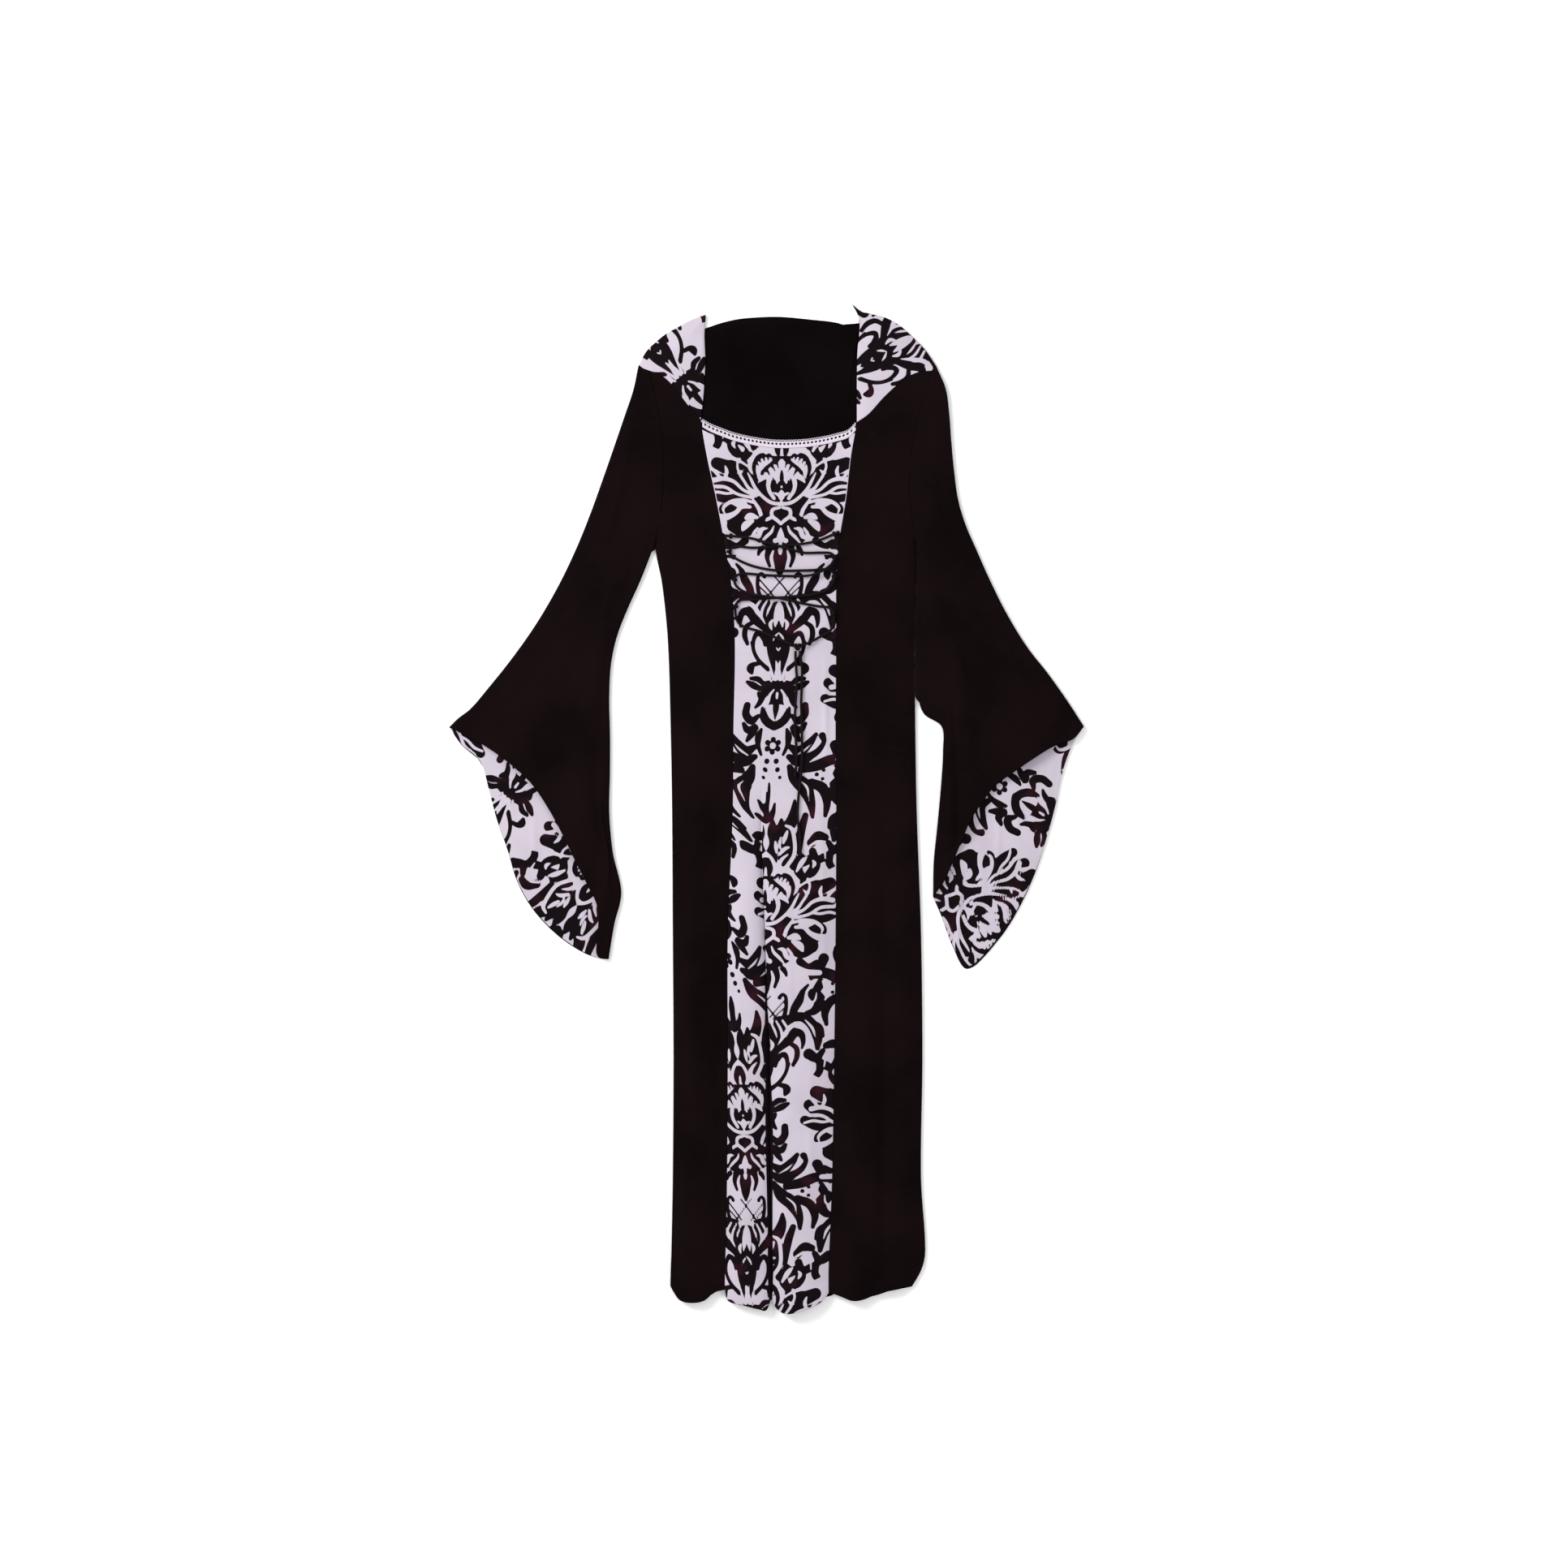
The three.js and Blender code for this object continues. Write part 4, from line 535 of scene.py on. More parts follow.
def creases(table: tuple, x: Array, y: Array) -> Array:
    """Soft ridges and troughs, listed one by one.

    Each is a bell across its line, fades out to both ends as half a sine wave does, and its line
    bows to one side by the given amount at its middle.

    Args:
        table: Rows of start x and y, end x and y, bow, half width and height.
        x: Where the heights are wanted.
        y: Where the heights are wanted.

    Returns:
        The sum of the heights.
    """
    total = np.zeros(np.shape(x))
    for x0, y0, x1, y1, bow, width, height in table:
        run = np.array([x1 - x0, y1 - y0], float)
        length = np.hypot(*run)
        run /= length
        t = np.clip(((x - x0) * run[0] + (y - y0) * run[1]) / length, 0, 1)
        across = (y - y0) * run[0] - (x - x0) * run[1] - bow * 4 * t * (1 - t)
        total = total + height * np.exp(-((across / width) ** 2)) * np.sin(math.pi * t)
    return total


# Meshes


def quads(ids: Array, around: bool = False) -> Array:
    """Four-sided faces over a grid of point numbers, closed round its rows when `around` is set."""
    if around:
        ids = np.hstack([ids, ids[:, :1]])
    return np.stack([ids[:-1, :-1], ids[1:, :-1], ids[1:, 1:], ids[:-1, 1:]], -1).reshape(-1, 4)


def rim(fine: Array, coarse: Array, step: int) -> list[Array]:
    """Faces between a loop of points and a loop with one point for each `step` of them.

    Each stretch of the coarse loop is a fan of triangles to its first point, one bridge, and a fan
    to its second point.

    Args:
        fine: Point numbers round the fine loop.
        coarse: Point numbers round the coarse loop.
        step: How many fine points there are for a coarse one.

    Returns:
        The fans' faces and the bridges' faces.
    """
    fine = fine.reshape(-1, step)
    after = np.roll(fine.ravel(), -1).reshape(-1, step)
    half = (step + 1) // 2
    second = np.roll(coarse, -1)
    near = np.where(np.arange(step) < half, coarse[:, None], second[:, None])
    fans = np.stack([fine, near, after], -1).reshape(-1, 3)
    return [fans, np.stack([after[:, half - 1], coarse, second], -1)]


def numbered(outer: Array, inner: Array, step: int) -> tuple[Array, Array, Array]:
    """The points of a fine outer grid and a coarse inner one, and the numbers of both grids.

    Args:
        outer: The outer points.
        inner: The inner points on the same grid.
        step: How much coarser the inner grid is.

    Returns:
        The points, the outer numbers and the inner ones.
    """
    coarse = inner[::step, ::step]
    fine_ids = np.arange(outer[..., 0].size).reshape(outer.shape[:2])
    coarse_ids = fine_ids.size + np.arange(coarse[..., 0].size).reshape(coarse.shape[:2])
    return both_faces(outer, step, inner), fine_ids, coarse_ids


def both_faces(outer: Array, step: int, inner: Array | None = None) -> Array:
    """Values of each point of the outer face, then of the coarser inner one, from grids of them."""
    thin = (outer if inner is None else inner)[::step, ::step]
    return np.concatenate([part.reshape(-1, *part.shape[2:]) for part in (outer, thin)])


def shell(outer: Array, inner: Array, step: int) -> tuple[Array, list[Array]]:
    """A closed sheet: a fine outer grid over an inner grid that is `step` times coarser.

    Args:
        outer: The outer points, rows by columns by 3. Rows and columns are a multiple of step, plus 1.
        inner: The inner points on the same grid.
        step: How much coarser the inner face is.

    Returns:
        The points, and the faces by their kind.
    """
    points, fine, coarse = numbered(outer, inner, step)

    def loop(ids: Array) -> Array:
        """The border of a grid, down its left side first."""
        return np.concatenate([ids[:-1, 0], ids[-1, :-1], ids[:0:-1, -1], ids[0, :0:-1]])

    return points, [quads(fine), quads(coarse)[:, ::-1], *rim(loop(fine), loop(coarse), step)]


def tube_shell(outer: Array, inner: Array, step: int) -> tuple[Array, list[Array]]:
    """A closed tube wall: rings of outer points over inner rings that are `step` times coarser.

    Args:
        outer: The outer points, ring by ring.
        inner: The inner points on the same grid.
        step: How much coarser the inner face is.

    Returns:
        The points, and the faces by their kind.
    """
    points, fine, coarse = numbered(outer, inner, step)
    faces = [quads(fine, True), quads(coarse, True)[:, ::-1], *rim(fine[-1], coarse[-1], step)]
    return points, faces + rim(np.roll(fine[0, ::-1], 1), np.roll(coarse[0, ::-1], 1), step)


def normals(grid: Array, around: bool = False) -> Array:
    """Unit normals of a grid of points, from the run of its rows and columns.

    Args:
        grid: The points.
        around: Whether each row closes on itself.

    Returns:
        The normals.
    """
    if around:
        across = np.roll(grid, -1, 1) - np.roll(grid, 1, 1)
    else:
        across = np.gradient(grid, axis=1)
    found = np.cross(np.gradient(grid, axis=0), across)
    return found / np.maximum(np.linalg.norm(found, axis=-1, keepdims=True), 1e-9)


def sweep(path: Array, radius: Array, sides: int, lobes: int = 0, pitch: float = 1.0,
          depth: float = 0.0) -> tuple[Array, list[Array], Array]:
    """A closed round cord along a path.

    Each ring stands square to the path on a frame that turns as little as it can. The radius swells
    by `depth` at each of the `lobes` strands, which wind round once in each `pitch` of length.

    Args:
        path: The points of the centreline.
        radius: The radius at each point.
        sides: Points in a ring.
        lobes: How many strands show, or 0 for a plain cord.
        pitch: The length of one turn of the strands.
        depth: How deep the grooves are, as a share of the radius.

    Returns:
        The points, the faces by their kind, and for each point its length along and its turn.
    """
    tangent = np.gradient(path, axis=0)
    tangent /= np.linalg.norm(tangent, axis=1, keepdims=True)
    side = np.cross(tangent, [0.0, 0.0, 1.0])
    side /= np.maximum(np.linalg.norm(side, axis=1, keepdims=True), 1e-9)
    up = np.cross(side, tangent)
    length = lengths_along(path)
    turn = 2 * math.pi * np.arange(sides) / sides
    swell = 1 + depth * np.cos(lobes * (turn[None] - 2 * math.pi * length[:, None] / pitch))
    rings = path[:, None] + (radius[:, None] * swell)[..., None] * (
        np.cos(turn)[None, :, None] * side[:, None] + np.sin(turn)[None, :, None] * up[:, None]
    )
    count = len(path) * sides
    ids = np.arange(count).reshape(-1, sides)
    points = np.vstack([rings.reshape(-1, 3), path[:1], path[-1:]])
    first, last = ids[0], ids[-1]
    caps = np.vstack([
        np.stack([np.full(sides, count), first, np.roll(first, -1)], -1),
        np.stack([np.full(sides, count + 1), np.roll(last, -1), last], -1),
    ])
    wound = np.stack(np.broadcast_arrays(length[:, None], turn[None]), -1).reshape(-1, 2)
    return points, [quads(ids, True), caps], np.vstack([wound, wound[:1], wound[-1:]])


def joined(parts: list[tuple]) -> tuple[Array, list[Array], Array]:
    """Several swept pieces as one set of points, faces and wound coordinates."""
    starts = np.cumsum([0] + [len(part[0]) for part in parts])
    faces = [face + start for part, start in zip(parts, starts) for face in part[1]]
    return np.vstack([part[0] for part in parts]), faces, np.vstack([part[2] for part in parts])


class Fabric(Enum):
    """The kinds of cloth and thread, by what each is made of."""

    VELVET = "velvet"
    DAMASK = "damask"
    BRAID = "braid"
    CORD = "cord"


def piece(name: str, points: Array, faces: list[Array], finish: "Finish", cloth: Array,
          ink: Array | None = None) -> bpy.types.Object:
    """Puts a closed surface into the scene as a piece of the gown.

    Args:
        name: The piece's name.
        points: Its points in millimetres.
        faces: Its faces by their kind. They are turned so that the volume they close is positive.
        finish: The finish that dresses it.
        cloth: Flat cloth coordinates of each point in millimetres, put in its UV map in metres.
        ink: How far inside the print each point is, in millimetres.

    Returns:
        The new object, at the origin.
    """
    triangles = np.vstack([f[:, [0, k, k + 1]] for f in faces for k in range(1, f.shape[1] - 1)])
    a, b, c = (points[triangles[:, k]] for k in range(3))
    if np.einsum("ij,ij->", a, np.cross(b, c)) < 0:
        faces = [face[:, ::-1] for face in faces]
    corners = np.concatenate([face.ravel() for face in faces])
    sizes = np.concatenate([np.full(len(face), face.shape[1]) for face in faces])
    mesh = bpy.data.meshes.new(name)
    mesh.vertices.add(len(points))
    mesh.vertices.foreach_set("co", (points * MM).astype(np.float32).ravel())
    mesh.loops.add(len(corners))
    mesh.loops.foreach_set("vertex_index", corners.astype(np.int32))
    mesh.polygons.add(len(sizes))
    mesh.polygons.foreach_set("loop_start", (np.cumsum(sizes) - sizes).astype(np.int32))
    mesh.update(calc_edges=True)
    mesh.polygons.foreach_set("use_smooth", np.ones(len(sizes), bool))
    layer = mesh.uv_layers.new(name="cloth")
    layer.data.foreach_set("uv", (cloth[corners] * MM).astype(np.float32).ravel())
    if ink is not None:
        mesh.attributes.new("ink", "FLOAT", "POINT").data.foreach_set("value", ink.astype(np.float32))
    mesh.materials.append(finish.material())
    thing = bpy.data.objects.new(name, mesh)
    bpy.context.scene.collection.objects.link(thing)
    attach(thing, "root")
    return thing


def lay_down(made: bpy.types.Object, node: str) -> None:
    """Hides the node of the frame that a piece stands for, and logs the piece's points.

    Args:
        made: The piece.
        node: The node.
    """
    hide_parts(node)
    LOG.info("%s: %d points", made.name, len(made.data.vertices))


# The cut, as in the solids


def body_line(column: int) -> "Line":
    """The smooth line down the body through one column of its sections."""
    return Line(np.array(BODY_SECTIONS, float)[:, [0, column]])


@dataclass(frozen=True)
class Line:
    """A smooth line down the body: a cubic between its levels, with slopes from their neighbours."""

    rows: Array

    def x(self, y: Array) -> Array:
        """Where the line is at some levels.

        Args:
            y: The levels.

        Returns:
            The line's x at each.
        """
        level, place = self.rows.T
        slope = np.gradient(place, np.arange(len(place))) / np.gradient(level, np.arange(len(level)))
        i = np.clip(np.searchsorted(-level, -np.asarray(y, float), side="right"), 1, len(level) - 1)
        span = level[i] - level[i - 1]
        t = np.clip((y - level[i - 1]) / span, 0, 1)
        bend = t * (1 - t) * span * ((1 - t) * slope[i - 1] - t * slope[i])
        return mix(place[i - 1], place[i], t * t * (3 - 2 * t)) + bend

    def at(self, y: Array) -> Array:
        """The line's points at some levels."""
        return np.stack([self.x(y), y], -1)


SIDE_LEFT, SEAM_LEFT, CREASE, SEAM_RIGHT, SIDE_RIGHT = (body_line(k) for k in range(1, 6))
NECK_TOP = 620.0
ARMPIT = 377.0
FRONT_MIDDLE = 373.0
HEM = np.array(HEM_SIDE_LEFT + HEM_ROLL_LEFT[1:] + HEM_ROLL_RIGHT[1:] + HEM_SIDE_RIGHT[1:], float)
FRONT_FOLDS = (
    # left line, right line, from, crest, to, start level, full level, height, and the power of its
    # flank before and after the crest: 2 is a wave, 1 a bow and 0.5 a quarter ellipse
    (SEAM_LEFT, CREASE, 0, 0.52, 1, 50, -170, 8, 1, 0.5),
    (CREASE, SEAM_RIGHT, 0, 0.4, 1, 50, -170, 9, 0.5, 1),
    (SIDE_LEFT, SEAM_LEFT, 0.02, 0.4, 0.9, 260, -500, 6, 2, 2),
    (SEAM_RIGHT, SIDE_RIGHT, 0.02, 0.32, 0.6, 280, -450, 7, 2, 2),
    (SEAM_RIGHT, SIDE_RIGHT, 0.55, 0.78, 1, 120, -520, 5, 2, 2),
)


def levels(top: float, middle: float, hem: float, bodice: int, skirt: int) -> Array:
    """Levels down the body, close at the top and the hem, with `middle` shared by all panels."""
    upper = spaced(2 * (top - middle), 2 * bodice)[: bodice + 1] * 2
    lower = spaced(2 * (middle - hem), 2 * skirt)[skirt:] * 2 - 1
    return np.concatenate([mix(top, middle, upper), mix(middle, hem, lower)[1:]])


@dataclass(frozen=True)
class Front:
    """The surface that every panel of the front lies in."""

    rise: float = 4.0
    reach: float = 16.0
    crease_drop: float = 3.3
    crease_reach: float = 6.0
    crease_start: float = 60.0
    crease_full: float = -120.0
    turn_depth: float = 15.0
    turn_height: float = 0.45
    turn_step: float = 0.8
    turn_foot: float = 4.0
    hem_zone: float = -640.0
    far: float = 99.0

    def free_edges(self) -> list[Array]:
        """The edges that lie on the back: the sides, the shoulders and the neck opening."""
        sides = [
            SIDE_LEFT.at(np.linspace(ARMPIT, HEM_SIDE_LEFT[0][1], 24)),
            SIDE_RIGHT.at(np.linspace(ARMPIT, HEM_SIDE_RIGHT[-1][1], 24)),
        ]
        paths = (YOKE_LEFT_SHOULDER, YOKE_LEFT_NECK, NECKLINE_LEFT, NECKLINE_RIGHT, YOKE_RIGHT_NECK,
                 YOKE_RIGHT_SHOULDER)
        return sides + [np.array(path, float) for path in paths]

    def folds(self, x: Array, y: Array) -> Array:
        """The large folds: round rolls and soft waves across a share of a panel.

        Args:
            x: Where they are wanted.
            y: Where they are wanted.

        Returns:
            The sum of their heights.
        """
        total = np.zeros(np.shape(x))
        for left, right, start_at, crest, end_at, start, full, height, before, after in FRONT_FOLDS:
            edge = left.x(y)
            across = (x - edge) / (right.x(y) - edge)
            reach = np.where(across < crest, crest - start_at, end_at - crest)
            offset = np.clip(np.abs(across - crest) / reach, 0, 1)
            growth = smooth((start - y) / (start - full))
            total += height * growth * (1 - offset**2) ** np.where(across < crest, before, after)
        return total

    def height(self, x: Array, y: Array) -> Array:
        """Height of the outer face.

        It stands on its edge's height, rises with 1 minus e to the minus distance from its free
        edges, drops in the crease by a pointed bell, and carries the large folds and small creases.
        A hem turn stands a little proud along its foot.

        Args:
            x: Where it is wanted.
            y: Where it is wanted.

        Returns:
            The heights.
        """
        rounding = 1 - np.exp(-distance_to(self.free_edges(), x, y) / self.reach)
        depth = smooth((self.crease_start - y) / (self.crease_start - self.crease_full))
        crease = self.crease_drop * depth * np.exp(-np.abs(x - CREASE.x(y)) / self.crease_reach)
        above = np.full(np.shape(x), self.far)
        low = y < self.hem_zone
        if low.any():
            above[low] = distance_to([HEM], x[low], y[low])
        turn = smooth((self.turn_depth - above) / self.turn_step) * smooth(above / self.turn_foot)
        small = creases(FRONT_CREASES, x, y)
        plain = FRONT_EDGE + self.rise * rounding - crease + self.folds(x, y)
        return plain + small + self.turn_height * turn


FRONT = Front()


@dataclass(frozen=True)
class PanelCut:
    """A panel of the front: its flat grid and its cloth."""

    name: str
    flat: Array
    wall: float = 1.6
    least_wall: float = 0.5
    sunk: float = 0.2
    edge_roll: float = 1.0
    step: int = 4

    def surface(self) -> Array:
        """The outer face: the front's height, rolled down along the panel's own border."""
        z = FRONT.height(self.flat[..., 0], self.flat[..., 1])
        z = z - rolled(border_distance(self.flat), self.edge_roll)
        return np.concatenate([self.flat, z[..., None]], -1)

    def build(self, finish: "Finish", ink: Array | None = None) -> None:
        """Args:
            finish: The cloth.
            ink: How far inside the print each point of the flat grid is, or None on a plain cloth.
        """
        outer = self.surface()
        inner = outer.copy()
        inner[..., 2] = np.maximum(outer[..., 2] - self.wall, FRONT_BASE - self.sunk)
        inner[..., 2] = np.minimum(inner[..., 2], outer[..., 2] - self.least_wall)
        points, faces = shell(outer, inner, self.step)
        if ink is not None:
            ink = both_faces(ink, self.step)
        made = piece(f"{self.name}_cloth", points, faces, finish, both_faces(self.flat, self.step), ink)
        lay_down(made, self.name)


@dataclass(frozen=True)
class Bodice:
    """The front and the back of the gown: a centre panel, two sides, two yokes and the back."""

    bodice_rows: int = 112
    skirt_rows: int = 660
    roll_left_columns: int = 44
    roll_right_columns: int = 60
    side_columns: int = 44
    side_bodice_rows: int = 60
    side_skirt_rows: int = 332
    yoke_columns: int = 84
    yoke_rows: int = 92
    yoke_gap: float = 0.2
    seam_gap: float = 0.1
    side_width: float = 130.0
    roll_width: float = 100.0
    yoke_width: float = 130.0
    yoke_height: float = 150.0

    def parted(self, flat: Array) -> Array:
        """A flat grid whose outer columns stand half a seam's gap in.

        Args:
            flat: The grid.

        Returns:
            The new grid.
        """
        flat = flat.copy()
        flat[:, 0, 0] += self.seam_gap / 2
        flat[:, -1, 0] -= self.seam_gap / 2
        return flat

    def front_rows(self, line: Line, top: tuple, hem: tuple, bodice: int, skirt: int) -> Array:
        """Points down a line of the front from its top to its hem, level with its neighbours'."""
        return line.at(levels(top[1], FRONT_MIDDLE, hem[1], bodice, skirt))

    def side(self, left: bool) -> PanelCut:
        """One of the two side fronts, from its yoke to the hem.

        Args:
            left: Whether it is the left one.

        Returns:
            The cut panel.
        """
        bodice, skirt = self.side_bodice_rows, self.side_skirt_rows
        shares = spaced(self.side_width, self.side_columns)
        yoke, hem = (YOKE_LEFT_SEAM, HEM_SIDE_LEFT) if left else (YOKE_RIGHT_SEAM, HEM_SIDE_RIGHT)
        line, end = (SIDE_LEFT, hem[0]) if left else (SIDE_RIGHT, hem[-1])
        outside = line.at(levels(NECK_TOP, ARMPIT, end[1], bodice, skirt))
        if left:
            seam = self.front_rows(SEAM_LEFT, NECKLINE_LEFT[0], HEM_ROLL_LEFT[0], bodice, skirt)
            edges = (outside, seam)
        else:
            seam = self.front_rows(SEAM_RIGHT, NECKLINE_RIGHT[-1], HEM_SIDE_RIGHT[0], bodice, skirt)
            edges = (seam, outside)
        flat = patch(path_at(yoke, shares), path_at(hem, shares), *edges)
        return PanelCut("front_side_left" if left else "front_side_right", self.parted(flat))

    def center(self) -> PanelCut:
        """The centre front: two rolls that meet in the crease of the skirt."""
        rows = (self.bodice_rows, self.skirt_rows)
        left_edge = self.front_rows(SEAM_LEFT, NECKLINE_LEFT[0], HEM_ROLL_LEFT[0], *rows)
        crease = self.front_rows(CREASE, NECKLINE_RIGHT[0], HEM_ROLL_RIGHT[0], *rows)
        right_edge = self.front_rows(SEAM_RIGHT, NECKLINE_RIGHT[-1], HEM_SIDE_RIGHT[0], *rows)
        halves = []
        for columns, top, hem, edges in (
            (self.roll_left_columns, NECKLINE_LEFT, HEM_ROLL_LEFT, (left_edge, crease)),
            (self.roll_right_columns, NECKLINE_RIGHT, HEM_ROLL_RIGHT, (crease, right_edge)),
        ):
            shares = spaced(self.roll_width, columns)
            halves.append(patch(path_at(top, shares), path_at(hem, shares), *edges))
        flat = np.hstack([halves[0], halves[1][:, 1:]])
        return PanelCut("center_panel", self.parted(flat))

    def yoke(self, left: bool) -> PanelCut:
        """A shoulder yoke: its neck edge on one side, its short edge at the armhole on the other.

        Args:
            left: Whether it is the left one.

        Returns:
            The cut yoke.
        """
        names = ((YOKE_LEFT_SHOULDER, YOKE_LEFT_NECK, YOKE_LEFT_SEAM) if left
                 else (YOKE_RIGHT_SHOULDER, YOKE_RIGHT_NECK, YOKE_RIGHT_SEAM))
        shoulder, neck, seam = (np.array(path, float) for path in names)
        seam = seam + [0.0, self.yoke_gap]
        end = -1 if left else 0
        neck_edge = np.vstack([neck[:-1], seam[end]])
        arm_edge = np.vstack([shoulder[-1 - end], seam[-1 - end]])
        across = spaced(self.yoke_width, self.yoke_columns)
        down = spaced(self.yoke_height, self.yoke_rows)
        edges = (arm_edge, neck_edge) if left else (neck_edge, arm_edge)
        flat = patch(path_at(shoulder, across), path_at(seam, across),
                     *(path_at(edge, down) for edge in edges))
        return PanelCut("yoke_left" if left else "yoke_right", flat)


@dataclass(frozen=True)
class Back:
    """The back: one flat panel that fills the neck opening."""

    columns: int = 76
    bodice_rows: int = 76
    skirt_rows: int = 180
    inset: float = 1.5
    hem_lift: float = 8.0
    width: float = 420.0
    neck_band: float = 11.0
    band_height: float = 0.5
    band_step: float = 0.8
    open_level: float = 535.0
    open_left: float = -80.0
    open_right: float = 122.0
    fade: float = 20.0
    edge_roll: float = 1.0
    step: int = 4

    def flat(self) -> Array:
        """The flat grid inside the shoulders, the neck, the sides and the hem."""
        left = np.array(YOKE_LEFT_SHOULDER[:-1], float) + [self.inset, -self.inset]
        right = np.array(YOKE_RIGHT_SHOULDER[1:], float) - self.inset
        top = np.vstack([left, np.array(BACK_NECK, float), right])
        hem = HEM_SIDE_LEFT[1:] + HEM_ROLL_LEFT[1:2] + HEM_ROLL_RIGHT[-2:] + HEM_SIDE_RIGHT[1:-1]
        hem = np.array(hem) + [0.0, self.hem_lift]
        shares = spaced(self.width, self.columns)
        edges = []
        for line, corner, inward, end in ((SIDE_LEFT, HEM_SIDE_LEFT[0], 1, 0),
                                          (SIDE_RIGHT, HEM_SIDE_RIGHT[-1], -1, -1)):
            edge = line.at(levels(NECK_TOP, ARMPIT, corner[1], self.bodice_rows, self.skirt_rows))
            edge = edge + [inward * GAP / 2, 0.0]
            edge[0] = top[end]
            edge[-1] = hem[end]
            edges.append(edge)
        return patch(path_at(top, shares), path_at(hem, shares), *edges)

    def build(self, finish: "Finish") -> None:
        """Makes the back: level under the front, and softly creased where the neck opening shows it.

        Args:
            finish: The cloth.
        """
        flat = self.flat()
        x, y = flat[..., 0], flat[..., 1]
        neck = distance_to([path_at(np.array(BACK_NECK, float), np.linspace(0, 1, 40))], x, y)
        beside = smooth((x - self.open_left) / self.fade) * smooth((self.open_right - x) / self.fade)
        open_neck = smooth((y - self.open_level) / (2 * self.fade)) * beside
        band = self.band_height * smooth((self.neck_band - neck) / self.band_step)
        relief = open_neck * (band + creases(BACK_CREASES, x, y))
        z = WALL + relief - rolled(border_distance(flat), self.edge_roll)
        outer = np.concatenate([flat, z[..., None]], -1)
        inner = np.concatenate([flat, np.zeros_like(z)[..., None]], -1)
        points, faces = shell(outer, inner, self.step)
        made = piece("back_panel_cloth", points, faces, finish, points[:, :2])
        lay_down(made, "back_panel")


# Places round a sleeve's layer and down from its armhole run from 0 to these
LAST_COLUMN = 11
LAST_RING = 13
# The armhole: its levels down the side edge as shares, and the columns between its corners
ARMHOLE_LEVELS = (0, 0.06, 0.25, 0.5, 0.75, 1)
ARMHOLE_COLUMNS = (1, 1, 2, 3, 2, 2)


